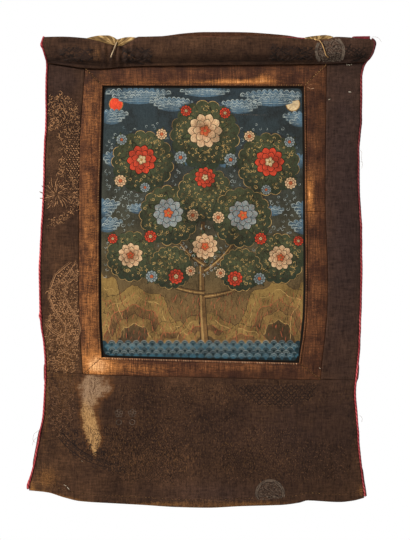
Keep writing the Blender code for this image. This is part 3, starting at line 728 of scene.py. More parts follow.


# %% [markdown]
# ## Wear, stain, soil and painted shade
#
# Damage has places: a pale water stain down the left of the lower cloth, bare threads where hands have held
# the lower corners, gold ground showing along the hem. Each is a table of soft round blots, and each piece
# reads the table at its own points. The soil tables also hold painted shade: darker cloth on and under the
# sleeve, along seams and on the right piping.

# %% Where the damage is
WORN = table(HILL, [
    (-250, 560, 30, 80, 0, 0.4), (-255, 470, 28, 80, 0, 0.25), (-284, 803, 24, 22, 0, 0.55),
    (-262, 680, 30, 90, 0, 0.22), (-150, 853, 190, 5, -2, 0.6), (60, 858, 190, 5, 0, 0.5),
    (-196, 38, 9, 14, 0, 0.3), (-286, 640, 5, 120, 1, 0.35), (-120, 640, 60, 16, 0, 0.1),
    (-274, 832, 52, 3.4, 12, 0.8), (282, 826, 9, 16, 0, 0.5), (-310, 822, 5, 12, 0, 0.6),
    (272, 700, 4, 120, 0, 0.2), (-30, 646, 190, 12, 0, 0.1), (262, 500, 22, 120, 0, 0.05),
    (88, 850, 72, 5.5, -2, 0.5), (-215, 845, 60, 4.5, 7, 0.25),
])
STAIN = table(HILL, [
    (-201, 630, 27, 15, 0, 0.85), (-204, 650, 22, 14, 0, 0.6), (-209, 668, 16, 13, 0, 0.65),
    (-211, 687, 14, 12, 0, 0.65), (-206, 706, 15, 12, -10, 0.7), (-201, 724, 18, 13, 0, 0.75),
    (-200, 741, 13, 11, 0, 0.65), (-198, 757, 5, 8, 0, 0.75), (-176, 645, 8, 14, 20, 0.3),
])
FLECKED = table(HILL, [
    (-130, 760, 110, 46, 8, 0.95), (-250, 600, 36, 110, 0, 0.6), (-255, 170, 34, 70, 0, 0.35),
    (100, 770, 130, 46, 0, 0.75), (150, 650, 90, 24, 0, 0.7), (0, 700, 160, 60, 0, 0.45),
    (-40, 640, 150, 22, 0, 0.45), (-200, 48, 50, 16, 0, 0.5), (-40, 34, 150, 12, 0, 0.35),
    (270, 700, 22, 90, 0, 0.4), (225, 38, 60, 16, 0, 0.35), (-60, 848, 230, 12, 0, 0.6),
])
COOL = table(HILL, [
    (255, 300, 46, 330, 0, 0.85), (120, 720, 120, 60, 0, 0.3), (20, 830, 90, 26, 0, 0.4),
    (-262, 86, 34, 34, 0, 0.4),
])
# Soil and painted shade: the rows at down 40 to 54 are painted shade on the sleeve's lower band, which faces
# down, and the row at down 70 is painted shade under the sleeve's foot.
SOIL_AND_SHADE = table(HILL, [
    (262, 330, 34, 330, 0, 0.45), (180, 740, 130, 90, 0, 0.32), (0, 690, 130, 40, 0, 0.25),
    (-262, 95, 40, 34, 0, 0.2), (0, 54, 400, 10, 0, 0.45), (0, 70, 420, 5, 0, 0.35),
    (-252, 160, 26, 44, 0, 0.4), (-240, 250, 22, 70, 0, 0.4), (-256, 520, 26, 84, 0, 0.3),
    (-260, 655, 22, 46, 0, 0.2), (2, 740, 9, 90, 1, 0.3), (-292, 330, 9, 200, 0, 0.3),
    (70, 800, 60, 40, 0, 0.25), (-196, 400, 6, 220, 0, 0.2), (20, 40, 190, 12, 0, 0.3),
    (200, 838, 80, 18, 0, 0.25), (-126, 46, 30, 14, 0, 0.4), (156, 46, 44, 14, 0, 0.3),
])
FADED = table(HILL, [
    (-190, 598, 34, 24, 0, 0.76), (-206, 520, 24, 110, 0, 0.3), (-207, 330, 22, 130, 0, 0.24),
    (60, 90, 64, 4.5, 0, 0.75), (103, 84, 13, 8, 0, 0.5), (188, 293, 8, 38, 0, 0.62),
    (-205, 130, 22, 80, 0, 0.2), (-80, 92, 90, 4, 0, 0.2), (60, 604, 200, 6, 0, 0.16),
    (196, 420, 20, 150, 0, 0.08), (-120, 606, 60, 14, 0, 0.25), (0, 76, 200, 6, 0, 0.05),
])
# Soil and painted shade: the lines at down 66 under the sleeve's foot, at down 622 along the lower seam and
# down both outer seams are painted shade.
FRAME_SOIL_AND_SHADE = table(HILL, [
    (0, 66, 230, 4.5, 0, 0.6), (0, 622, 220, 6, 0, 0.45), (216, 360, 5, 280, 0, 0.4),
    (-222, 330, 4, 290, 0, 0.3), (110, 612, 80, 12, 0, 0.35), (182, 590, 16, 26, 0, 0.3),
    (-198, 78, 26, 15, 0, 0.75), (198, 150, 22, 70, 0, 0.3),
])
# Soil and painted shade: painted shade darkens the right piping from its top to past the middle.
PIPING_SOIL_AND_SHADE = table(HILL, [
    (300, 24, 30, 40, 0, 0.9), (282, 150, 30, 150, 0, 0.75), (280, 360, 30, 140, 0, 0.4),
    (-290, 60, 30, 50, 0, 0.3), (284, 800, 30, 60, 0, 0.35),
])


def read(rows):
    """The value of a table of blots at a place, from 0 to 1."""
    return lambda across, down: np.clip(hills(rows, across, down), 0, 1)


BROCADE_TABLES = {"worn": WORN, "stain": STAIN, "soil": SOIL_AND_SHADE, "fleck": FLECKED, "cool": COOL}
BROCADE_VALUES = {key: read(rows) for key, rows in BROCADE_TABLES.items()}
FRAME_VALUES = {"worn": read(FADED), "soil": read(FRAME_SOIL_AND_SHADE)}
print("blots:", sum(len(rows["down"]) for rows in (*BROCADE_TABLES.values(), FADED, FRAME_SOIL_AND_SHADE)))

# %% [markdown]
# ## The strings
#
# Two short strings hang down over the sleeve from the silk ties. Each is two strands laid round one another.
# The cross-section of such a string is an outline with two lobes, and it turns as it goes along. Carried
# along the string's route, it gives the twist as real shape, so that light catches each turn.

# %% Twisted cords
STEPS = 12  # the points of a line, where nothing else is said


def unit(vectors):
    """Vectors made one long."""
    return vectors / np.maximum(np.linalg.norm(vectors, axis=-1, keepdims=True), 1e-9)


def walked(path):
    """How far along a path each of its points is."""
    return np.concatenate([[0], np.cumsum(np.linalg.norm(np.diff(path, axis=0), axis=1))])


def resampled(path, count=STEPS):
    """A path with count points, evenly spaced along it."""
    path = np.asarray(path, float)
    along = walked(path)
    at = np.linspace(0, along[-1], count)
    return np.stack([np.interp(at, along, column) for column in path.T], 1)


def cord_surface(path, radius, pitch, sides, lobes=2, depth=0.36, taper=0.0):
    """The points, faces and crests of a twisted cord along a path.

    Its outline is radius * (1 - depth + depth * |cos(lobes / 2 * (angle - turn))|), and turn grows by a full
    circle every pitch. With taper, its ends narrow to a point over that length.
    """
    along = walked(path)
    tangent = unit(np.gradient(path, axis=0))
    aside = unit(np.cross(tangent, [0, -1, 0]))
    outward = np.cross(aside, tangent)
    angle = np.linspace(0, 2 * math.pi, sides, endpoint=False)
    turn = 2 * math.pi * along / pitch
    lobe = np.abs(np.cos(lobes / 2 * (angle[None] - turn[:, None])))
    size = np.broadcast_to(radius, along.shape)
    if taper:
        end = np.clip(np.minimum(along, along[-1] - along) / taper, 0, 1)
        size = size * (0.25 + 0.75 * np.sqrt(1 - (1 - end) ** 2))
    reach = size[:, None] * (1 - depth + depth * lobe)
    ring = np.cos(angle)[None, :, None] * aside[:, None] + np.sin(angle)[None, :, None] * outward[:, None]
    points = path[:, None] + reach[..., None] * ring
    count = len(path)
    ids = np.arange(count * sides).reshape(count, sides)
    beside = np.roll(ids, -1, axis=1)
    around = np.stack([ids[:-1], ids[1:], beside[1:], beside[:-1]], -1).reshape(-1, 4)
    ends = np.stack([ids[0], ids[-1][::-1]])
    return points.reshape(-1, 3), [around, ends], lobe.ravel()


def routed(rows, step):
    """A smooth path through a short list of places, with a point about every step of metres."""
    keys = np.arange(len(rows["across"]), dtype=float)
    curves = [through(keys, rows[name]) for name in ("across", "down", "forward")]
    fine = spots(*[curve(np.linspace(0, keys[-1], 400)) for curve in curves])
    return resampled(fine, int(walked(fine)[-1] / step) + 2)


# %% Two strings
STRING_LEFT = table("across down forward", [
    (-158.6, 19, 7.6), (-159.5, 22.5, 10), (-161, 27, 13.2), (-163.5, 33.5, 14.6), (-166.3, 40.5, 15.9),
    (-169, 47.5, 16),
])
STRING_RIGHT = table("across down forward", [
    (195.5, 13.4, 10.2), (199, 15.8, 13.9), (204.5, 16.8, 14.9), (208.5, 21.5, 16.4), (212, 29, 16.9),
    (214.5, 36.5, 16.9), (216.5, 43, 16.1), (221.5, 47.7, 13.6),
])


def hang_string(side, rows, thick, finish):
    path = routed(rows, 0.35 * MM)
    points, faces, crest = cord_surface(path, thick / 2 * MM, 5.2 * MM, 14, depth=0.42, taper=1.2 * MM)
    piece = mesh_piece("hanging_string_" + side, points, faces, finish, {"crest": crest}, crease=180)
    dress(piece, "tie_string", "string_" + side)


hang_string("left", STRING_LEFT, 2.4, STRING_FINISH)
hang_string("right", STRING_RIGHT, 1.9, TWINE_FINISH)

# %% [markdown]
# ## Lining and red strip
#
# The lining is one plain cloth behind everything. It shows as an arch above the sleeve and as slivers along
# the sides, where it has crept out from under the panels. On its back, painted shade draws faint shadows of
# the seams in front of it. A strip of red silk lies between lining and sleeve at the top edge.

# %% Lining
LINING_EDGES = (
    lambda down: SIDE["left"](down) - SLIVER["left"](down),
    lambda down: SIDE["right"](down) + SLIVER["right"](down),
    TOP["lining"],
    shifted(HEM_FOOT, -2.5),
)


def lining_faces(across, down, u, v):
    half = LINING / 2 * shoulder(to_nearest(across, down, LINING_EDGES), 1.2, 0.3)
    middle = hang(across, down)
    return middle + half, middle - half


# Painted shade on the lining's back: faint shadows of the seams and creases in front, and a darker rim.
LINING_SOIL_AND_SHADE = table(HILL, [
    (-221, 340, 3.6, 290, 0, 0.4), (218, 340, 3.6, 290, 0, 0.4), (0, 61, 290, 4, 0, 0.5),
    (0, 622, 290, 4, 0.4, 0.4), (-188, 345, 4, 250, 0, 0.2), (180, 345, 4, 250, 0, 0.2),
    (0, 97, 190, 4, 0, 0.2), (0, 590, 190, 4, 0, 0.2), (0, 853, 320, 7, 0, 0.4), (0, 4, 320, 12, 0, 0.35),
    (-300, 700, 12, 200, 0, 0.25), (288, 640, 12, 260, 0, 0.25), (40, 740, 120, 4, 1, 0.2),
    (-40, 200, 220, 4, -0.5, 0.2), (20, 470, 230, 4, 0.6, 0.2),
])
LINING_LIP = (0, 0.3, 0.7, 1.2, 3)
made = patch("lining_cloth", LINING_EDGES, shares(590, 5.6, LINING_LIP), shares(845, 6.2, LINING_LIP),
             lining_faces, LINING_FINISH, {"soil": read(LINING_SOIL_AND_SHADE)})
hung(made, "lining_cloth", "lining")

# %% Red strip
STRIP_FROM, STRIP_TO, STRIP_WIDE, STRIP_WAVE = -78, 297, 14, 0.12
STRIP_EDGES = (level(STRIP_FROM), level(STRIP_TO), TOP["strip"], shifted(TOP["strip"], STRIP_WIDE))


def strip_faces(across, down, u, v):
    nearest = to_nearest(across, down, STRIP_EDGES)
    wave = STRIP_WAVE * np.sin(across / 5 + 2 * np.sin(across / 23))
    thick = (LINING - STRIP_WAVE) * shoulder(nearest, 0.8, 0.3) + wave * shoulder(nearest, 0.8, 0)
    return CLOTH_BACK + thick, CLOTH_BACK


us, vs = shares(STRIP_TO - STRIP_FROM, 2.2), shares(STRIP_WIDE, 1.3, (0, 0.3, 0.8))
made = patch("strip_cloth", STRIP_EDGES, us, vs, strip_faces, STRIP_FINISH, {})
hung(made, "red_piping", "top_strip")

# %% [markdown]
# ## The sleeve
#
# A rod once ran through a sleeve of brocade along the top. Empty, the sleeve keeps a soft square-shouldered
# section: a ridge along its front, thin at its lower seam, and pinched where a tie pulls on it. So it is one
# section worked out for every place along the sleeve, once for the outside and once for the inside.

# %% Sleeve
SLEEVE_RIDGE, SLEEVE_SQUARE, SLEEVE_TAPER, TAPER_FROM, SLEEVE_FLARE = 0.36, 0.8, 0.4, 0.6, 50
SLEEVE_CLEAR = PIPING / 2 - 0.2
PINCH, PINCH_REACH, PINCH_CREASE, PINCH_PITCH = -158, 32, 1.1, 13
RIDGE_POWER = math.log(SLEEVE_RIDGE) / math.log(0.5)
SLEEVE_MIDDLE = 36.0
SLEEVE_START, SLEEVE_END = SIDE["left"](SLEEVE_MIDDLE), SIDE["right"](SLEEVE_MIDDLE)


def signed_power(value, power):
    return np.sign(value) * np.abs(value) ** power


def sleeve_spot(across, angle, inset=0.0):
    """A point of the sleeve's section, as down and forward. Angle 0 is its top, and the front comes next."""
    top, foot = TOP["sleeve"](across) + inset, FOOT["sleeve"](across) - inset
    rise = signed_power(np.cos(angle), SLEEVE_SQUARE)
    out = signed_power(np.sin(angle), SLEEVE_SQUARE)
    share = ((1 - rise) / 2) ** RIDGE_POWER
    narrowed = (1 - SLEEVE_TAPER) * eased((share - TAPER_FROM) / (1 - TAPER_FROM))
    half = SLEEVE_FORWARD(across) / 2 * (1 - narrowed)
    near = np.exp(-(((across - PINCH) / PINCH_REACH) ** 2))
    crease = PINCH_CREASE * near * np.sin(2 * math.pi * (across - PINCH) / PINCH_PITCH) * np.maximum(out, 0)
    return top + share * (foot - top), SLEEVE_BACK + half + (half - inset) * out + crease


def sleeve_front(across, down):
    """How far forward the sleeve's front wall stands at a place."""
    top, foot = TOP["sleeve"](across), FOOT["sleeve"](across)
    share = np.clip((down - top) / (foot - top), 0, 1)
    rise = 1 - 2 * share ** (1 / RIDGE_POWER)
    angle = np.arccos(np.sign(rise) * np.minimum(np.abs(rise) ** (1 / SLEEVE_SQUARE), 1))
    return sleeve_spot(across, angle)[1] + sleeve_detail(across, down, np.sin(angle) > 0)


SLEEVE_CREASES = table(HILL, [
    (-245, 57, 62, 1.6, 4, -1.0), (-225, 50, 40, 1.9, 6, 0.6), (-232, 20, 50, 2.2, -2, -0.45),
    (-147, 31, 2.4, 9, -58, -1.5), (-142, 37, 2.6, 12, -62, -1.9), (-137, 42, 2.4, 13, -56, 1.4),
    (-128, 44, 2.8, 13, -50, -2.2), (-121, 51, 2.4, 11, -58, 1.3), (-134, 54, 2.6, 15, -74, -1.9),
    (-112, 45, 2.6, 12, 40, -1.3), (-106, 53, 2.4, 10, -64, -1.5), (-116, 36, 2.4, 11, -44, -1.2),
    (-168, 44, 2.0, 12, 14, -1.1), (-262, 50, 22, 1.7, -8, -0.8), (-204, 55, 26, 1.7, 2, -0.9),
    (-20, 55, 120, 1.6, -1, -0.45), (120, 54, 90, 1.6, 1, -0.4), (0, 22, 90, 2.6, 1, 0.25),
    (242, 50, 40, 1.6, -6, -0.45), (262, 36, 4, 16, 8, 0.4), (250, 24, 3.5, 12, 12, -0.35),
    (-276, 30, 4, 18, -14, 0.4), (-264, 40, 3.5, 14, -8, -0.3), (-190, 44, 3, 12, -10, 0.5),
    (-183, 40, 2.6, 14, -14, -0.5), (-176, 46, 2.6, 12, -18, 0.5), (70, 45, 3, 12, 8, 0.25),
    (30, 46, 3, 11, -6, -0.25),
])


def sleeve_detail(across, down, on_front):
    """What the outside adds to the section, mm: a crisp ridge, fine pleats at the pinch and old creases."""
    top, foot = TOP["sleeve"](across), FOOT["sleeve"](across)
    share = (down - top) / (foot - top)
    ridge = 0.55 * np.exp(-(((share - SLEEVE_RIDGE - 0.02) * 51 / 1.6) ** 2))
    fan = (across - PINCH) / (4 + np.maximum(down - 22, 0) * 0.42)
    pleats = 0.5 * np.exp(-((across - PINCH) / 26) ** 2) * np.cos(2.6 * fan) * eased((share - 0.15) / 0.3)
    slack = 0.3 * np.sin(across / 9 + 2 * np.sin(across / 31)) * np.sin(down / 4.6 + across / 40)
    inside_ends = eased(share / 0.1) * eased((1 - share) / 0.12)
    return (ridge + pleats + slack + hills(SLEEVE_CREASES, across, down)) * inside_ends * on_front


def sleeve_soil_and_shade(across, down):
    """Soil and painted shade, with more painted shade at the bottom of the creases."""
    return np.clip(BROCADE_VALUES["soil"](across, down) - 0.95 * hills(SLEEVE_CREASES, across, down), 0, 1)


def sleeve_wear_and_highlight(across, down):
    """Bare threads, more of them on the fold tops as a painted highlight, and fewer in the creases."""
    return np.clip(BROCADE_VALUES["worn"](across, down) + 0.4 * hills(SLEEVE_CREASES, across, down), 0, 1)


def sleeve_points(across, angle, inset):
    """The place of each point of the sleeve: its ends follow the flare of the long edges."""
    down, forward = sleeve_spot(across, angle, inset)
    forward = forward + sleeve_detail(across, down, np.sin(angle) > 0)
    near_start = 1 - eased((across - SLEEVE_START) / SLEEVE_FLARE)
    near_end = 1 - eased((SLEEVE_END - across) / SLEEVE_FLARE)
    to_start = (SIDE["left"](down) + SLEEVE_CLEAR - SLEEVE_START) * near_start
    to_end = (SIDE["right"](down) - SLEEVE_CLEAR - SLEEVE_END) * near_end
    return across + to_start + to_end, down, forward


def make_sleeve(columns=400, front=40, back=9):
    angles = np.concatenate([np.linspace(0, math.pi, front, endpoint=False),
                             np.linspace(math.pi, 2 * math.pi, back, endpoint=False)])
    across, angle = np.meshgrid(np.linspace(SLEEVE_START, SLEEVE_END, columns), angles)
    outside, inside = sleeve_points(across, angle, 0.0), sleeve_points(across, angle, BROCADE)
    count = across.size
    ids = np.arange(count).reshape(across.shape)
    under = np.roll(ids, -1, axis=0)
    wall = np.stack([ids[:, :-1], under[:, :-1], under[:, 1:], ids[:, 1:]], -1).reshape(-1, 4)
    start = np.stack([ids[:, 0], ids[:, 0] + count, under[:, 0] + count, under[:, 0]], -1)
    end = np.stack([ids[:, -1], under[:, -1], under[:, -1] + count, ids[:, -1] + count], -1)
    places = [np.concatenate([a, b]) for a, b in zip(outside, inside)]
    values = {key: value(places[0], places[1]) for key, value in BROCADE_VALUES.items()}
    # Painted shade in the creases and a painted highlight along the fold tops go in with the soil and wear.
    values["soil"] = sleeve_soil_and_shade(places[0], places[1])
    values["worn"] = sleeve_wear_and_highlight(places[0], places[1])
    cloth = np.stack([places[0], -places[1] - 0.6 * np.tile(angle, (2, 1))], -1) * MM
    faces = [wall, wall[:, ::-1] + count, start, end]
    piece = mesh_piece("sleeve_cloth", spots(*places), faces, BROCADE_FINISH, values, cloth)
    dress(piece, "brocade", "top_sleeve")
    section = spots(*outside)[:, columns // 2]
    way_round = np.linalg.norm(np.roll(section, -1, axis=0) - section, axis=1).sum()
    flat = (float(SLEEVE_END - SLEEVE_START) * MM, float(way_round))
    print(piece.name, len(piece.data.polygons), "faces, cut, m:", [round(x, 3) for x in flat])


make_sleeve()

# %% [markdown]
# ## Side panels and lower panel
#
# Three pieces of brocade surround the frame. They are quilted into their seams: each turns down at its edge
# and draws small puckers square to the seam. The lower one ends in a turned hem, a band of double cloth with
# a sunk line of stitches along its top.

# %% Panels
PANEL_CLEAR = PIPING / 2 + 0.4
PANEL_LEFT, PANEL_RIGHT = shifted(SIDE["left"], PANEL_CLEAR), shifted(SIDE["right"], -PANEL_CLEAR)
UNDER_SLEEVE = shifted(FOOT["sleeve"], 2 * SEAM)
SIDE_FOOT = shifted(FOOT["side"], -SEAM)
HEM, HEM_HIGH = 0.9, 16.3


def front_of(faces):
    """How far forward a cloth's front is at a place, from the function of its front and back."""
    return lambda across, down: faces(across, down, 0, 0)[0]


def panel_faces(edges, hem=False):
    """A panel's front and back, with the turned hem along its foot if it has one."""

    def faces(across, down, u, v):
        left, right, top, bottom = to_edges(across, down, edges)
        nearest = np.minimum.reduce([left, right, top, bottom])
        thick = BROCADE * shoulder(nearest)
        gathers = pucker(np.minimum(left, right), down) + pucker(np.minimum(top, bottom), across)
        if hem:
            band = eased((HEM_HIGH + 0.8 - bottom) / 1.6)
            stitched = 0.6 * np.exp(-(((bottom - HEM_HIGH + 2.4) / 0.75) ** 2))
            waves = 0.22 * np.sin(across / 4.1 + 2 * np.sin(across / 19)) * band
            folded = HEM * band - stitched + waves * shoulder(bottom, 6, 0)
            thick = thick + folded * shoulder(nearest, 1.5, 0.3)
        back = CLOTH_BACK + hang(across, down)
        return back + thick + gathers * shoulder(nearest, 1.5, 0), back

    return faces


PANEL_LONG = 232
BOTTOM_EDGES = (PANEL_LEFT, PANEL_RIGHT, shifted(FOOT["side"], SEAM), HEM_FOOT)
lower = shares(PANEL_LONG, 3.0)
above, below = lower[lower < 1 - 21 / PANEL_LONG], lower[lower > 1 - 2.6 / PANEL_LONG]
hem_lines = np.concatenate([np.arange(3.5, 11, 1.25), np.arange(11.4, 18.2, 0.55), [19, 20.2]])
PANELS = {
    "panel_left": ((PANEL_LEFT, shifted(SILKS["outer_left"], -SEAM), UNDER_SLEEVE, SIDE_FOOT),
                   shares(68, 1.5), shares(552, 2.2), "sleeve_cloth"),
    "panel_right": ((shifted(SILKS["outer_right"], SEAM), PANEL_RIGHT, UNDER_SLEEVE, SIDE_FOOT),
                    shares(60, 1.9), shares(565, 2.6), "sleeve_cloth"),
    "panel_bottom": (BOTTOM_EDGES, shares(575, 2.8),
                     np.concatenate([above, 1 - hem_lines[::-1] / PANEL_LONG, below]), "panel_left_cloth"),
}
for node, (edges, us, vs, upper_cloth) in PANELS.items():
    faces = panel_faces(edges, hem=node == "panel_bottom")
    made = patch(node + "_cloth", edges, us, vs, faces, BROCADE_FINISH, BROCADE_VALUES)
    hung(made, "brocade", node, upper_cloth, "lining_cloth")

# %% [markdown]
# ## The frame
#
# Five strips of plain ribbed silk frame the painting, mitred at the corners. Each is sewn down at its outer
# edge, climbs onto the canvas, and ends in a tight roll whipped with thread. The roll is the part that
# catches light, so its section gets close lines: a half round over the inner 3.4 mm, with a furrow behind it.

# %% Frame strips
ROLL_HALF, ROLL_HIGH, FURROW, THINNEST = 1.7, 1.25, 4.0, 0.45
FRAME_LIFT = 0.55


def frame_faces(edges, inner):
    """A strip's front and back. inner is the number of its rolled edge: left 0, right 1, top 2, bottom 3."""
    outer = {0: 1, 1: 0, 2: 3, 3: 2}[inner]

    def faces(across, down, u, v):
        far = to_edges(across, down, edges)
        to_roll, to_seam = far[inner], far[outer]
        along = down if inner < 2 else across
        share = to_seam / (to_seam + to_roll)
        lift = (CANVAS + GAP) * eased(share / FRAME_LIFT)
        back = CLOTH_BACK + hang(across, down) + lift
        ends = np.minimum.reduce([far[i] for i in range(4) if i not in (inner, outer)])
        flat = SILK * shoulder(np.minimum(to_seam, ends * 0.8), 2.0, 0.35)
        flat = flat - THINNEST * np.exp(-(((to_roll - FURROW) / 0.55) ** 2))
        flat = flat + pucker(ends, to_seam) * 0.8 + pucker(np.maximum(to_roll - FURROW, 0), along) * 0.9
        bulge = ROLL_HIGH * (0.85 + 0.15 * np.sin(along / 1.9 + 3 * np.sin(along / 11)))
        over = np.clip(1 - ((to_roll - ROLL_HALF) / ROLL_HALF) ** 2, 0, 1)
        roll = (SILK + bulge) * np.sqrt(over) * shoulder(ends, 1.5, 0.75)
        return back + np.maximum(np.where(to_roll < 2 * ROLL_HALF, roll, flat), THINNEST), back

    return faces


def strip_shares(wide, inner):
    """Lines across a strip, closest over its roll, which is at share 1, or at 0 where it comes first."""
    roll = [0, 0.06, 0.2, 0.45, 0.8, 1.25, 1.7, 2.15, 2.6, 2.95, 3.2, 3.34, 3.5, 3.8, 4.1, 4.5, 5.2]
    plain = np.arange(6.6, wide - 3.2, 1.9)
    seam = wide - np.array(LIP[::-1])
    lines = np.concatenate([roll, plain, seam]) / wide
    return lines if inner in (0, 2) else 1 - lines[::-1]


OUTER_LEFT, OUTER_RIGHT = shifted(SILKS["outer_left"], SEAM), shifted(SILKS["outer_right"], -SEAM)
STRIPS = {
    "frame_left": ((OUTER_LEFT, SILKS["inner_left"], shifted(mitre(TOP_LEFT, "across"), SEAM),
                    shifted(mitre(BOTTOM_LEFT, "across"), -SEAM)), 1, 36, 520),
    "frame_right_upper": ((SILKS["inner_right"], OUTER_RIGHT, shifted(mitre(TOP_RIGHT, "across"), SEAM),
                           level(RIGHT_JOIN - SEAM)), 0, 38, 245),
    "frame_right_lower": ((SILKS["inner_right"], OUTER_RIGHT, level(RIGHT_JOIN + SEAM),
                           shifted(mitre(BOTTOM_RIGHT, "across"), -SEAM)), 0, 39, 285),
    "frame_top": ((shifted(mitre(TOP_LEFT, "down"), SEAM), shifted(mitre(TOP_RIGHT, "down"), -SEAM),
                   UNDER_SLEEVE, WINDOW_TOP), 3, 37, 398),
    "frame_bottom": ((shifted(mitre(BOTTOM_LEFT, "down"), SEAM), shifted(mitre(BOTTOM_RIGHT, "down"), -SEAM),
                      WINDOW_BOTTOM, SIDE_FOOT), 2, 30, 390),
}
for node, (edges, inner, wide, long) in STRIPS.items():
    over, along = strip_shares(wide, inner), shares(long, 2.6)
    us, vs = (over, along) if inner < 2 else (along, over)
    made = patch(node + "_silk", edges, us, vs, frame_faces(edges, inner), SILK_FINISH, FRAME_VALUES)
    hung(made, "frame_silk", node, "painting_canvas", "lining_cloth")

# %% [markdown]
# ## Piping
#
# A thick red cord is caught in the seam down both long edges, and it makes the scroll's outline. It is the
# same two-lobed section as the strings, fatter at its knots, on a path that runs down the end of the sleeve
# and then along the edge of the cloth.

# %% Piping
BULGES = {"left": [(25, 4, 0.7), (511, 5, 0.8), (814, 9, 0.9)], "right": [(20, 8, 0.5)]}


def make_piping(side, outward):
    edge = SIDE[side]
    top = TOP["sleeve"](edge(9.0)) - 0.6
    last = HEM_FOOT(edge(837.0)) - 0.8
    foot = FOOT["sleeve"](edge(54.0))
    down = np.arange(top, last, 1.15)
    more = sum(high * np.exp(-(((down - at) / long) ** 2)) for at, long, high in BULGES[side])
    wobble = 0.18 * np.sin(down / 7.5 + 2 * np.sin(down / 29))
    on_sleeve = 1 - eased((down - foot + 6) / 9)
    on_cloth = PIPING_MIDDLE + hang(edge(down), down)
    wall = sleeve_front(edge(down), down) - BROCADE / 2
    out = edge(down) + outward * (more + wobble * (1 - on_sleeve))
    path = spots(out, down, on_cloth + on_sleeve * (wall - on_cloth))
    radius = (PIPING / 2 + more) * (1.19 + 0.05 * np.sin(down / 13))
    points, faces, crest = cord_surface(path, radius * MM, 15 * MM, 14, depth=0.1, taper=2.5 * MM)
    values = {"crest": crest, "soil": read(PIPING_SOIL_AND_SHADE)(points[:, 0] / MM, -points[:, 2] / MM)}
    piece = mesh_piece("piping_" + side + "_cord", points, faces, PIPING_FINISH, values, crease=180)
    dress(piece, "red_piping", "piping_" + side)
    print(piece.name, len(piece.data.polygons), "faces")


make_piping("left", -1)
make_piping("right", 1)

# %% [markdown]
# ## Ties
#
# Two scraps of old silk are knotted round the top of the sleeve. Their folds all run to the knot, so the
# folds are waves of the angle round it: the closer to the knot, the closer together they stand. The same
# waves paint a highlight on each fold's crest and shade between the folds.

# %% Ties
TIE, TIE_REST, TIE_GATHER, TIE_THICKER = 1.4, 0.4, 9, 0.8
TIE_LEFT = table("across upper lower", [
    (-213, 11.2, 12), (-203, 8.6, 14.6), (-189, 6.4, 18.1), (-175, 6.2, 22.3), (-164, 9.6, 25.2),
    (-158, 13.2, 26.4), (-151, 11.6, 26), (-142, 9.6, 22.3), (-133, 9.2, 17.6), (-124, 10.2, 11.6),
])
TIE_RIGHT = table("across upper lower", [
    (179, 10.2, 12.9), (189, 8.2, 14), (203, 6.6, 15), (216, 5.6, 14.4), (224, 6.6, 13.4), (231, 8.8, 12.4),
])


def make_tie(side, rows, forward, gather, knot, folds):
    curve = columns(rows, "across")
    edges = (level(rows["across"][0]), level(rows["across"][-1]), curve["upper"], curve["lower"])

    # The folds' waves: they shape the silk, and as its crest value they paint a highlight on each fold and
    # shade between.
    def crest(across, down):
        turned = np.arctan2(across - knot[0], knot[1] - down)
        broad, fine = folds * turned + 1.3 * np.sin(down / 3), folds * 2.3 * turned + across / 7
        return 0.5 + 0.3 * np.cos(broad) + 0.2 * np.cos(fine)

    def faces(across, down, u, v):
        gathered = np.exp(-(((across - PINCH) / TIE_GATHER) ** 2))
        back = CLOTH_BACK + TIE_REST + (forward + gather * gathered) * v**1.3
        thick = (TIE + TIE_THICKER * gathered) * shoulder(to_nearest(across, down, edges), 1.2, 0.3)
        away = np.hypot(across - knot[0], down - knot[1])
        fold = (crest(across, down) - 0.4) * (0.35 + 0.9 * np.exp(-away / 16)) * np.sin(math.pi * v) ** 0.5
        return back + thick + fold, back

    us, vs = shares(np.ptp(rows["across"]), 0.8, (0, 0.4, 1)), shares(13, 0.6, (0, 0.2, 0.5))
    made = patch(f"tie_{side}_silk", edges, us, vs, faces, TIE_FINISH, {"crest": crest})
    hung(made, "tie_silk", "tie_" + side, "sleeve_cloth")


make_tie("left", TIE_LEFT, 5.0, 2.0, (-158, 27), 13)
make_tie("right", TIE_RIGHT, 5.5, 0.0, (197, 22), 11)

# %% [markdown]
# ## Lines that stand on the cloth
#
# The woven figure, the brush lines of the picture and every stitch are thin lines that stand a hair above a
# cloth. Each could be a curve with a bevel, but there are thousands. So a line here is a path of a few points
# with a ridge over it: two edges sunk in the cloth and a crest between them. All the paths of one kind have
# the same number of points, so they are one array, and all the lines of one thread are one mesh.

# %% Paths


def polar(x, y, reach, angle):
    """Places at a reach and an angle from a middle."""
    return np.stack([x + reach * np.cos(angle), y + reach * np.sin(angle)], -1)


def circle(x, y, radius, count=28):
    """A round outline: points at radius, evenly spaced round the middle."""
    return polar(x, y, radius, np.linspace(0, 2 * math.pi, count, endpoint=False))


def bow(start, end, rise, count=24):
    """An arc from one point to another that stands off their line by rise, to its left."""
    t = np.linspace(0, 1, count)[:, None]
    start, end = np.array(start, float), np.array(end, float)
    over = np.array([start[1] - end[1], end[0] - start[0]]) / np.linalg.norm(end - start)
    return start + (end - start) * t + over * rise * 4 * t * (1 - t)


def sideways(paths):
    """The unit direction square to each path, to its left, at each of its points."""
    along = unit(np.gradient(paths, axis=-2))
    return np.stack([-along[..., 1], along[..., 0]], -1)


def abreast(path, *offsets):
    """Lines that keep step with a path, each off to its side."""
    path = resampled(path)
    return path + sideways(path) * np.array(offsets, float)[:, None, None]


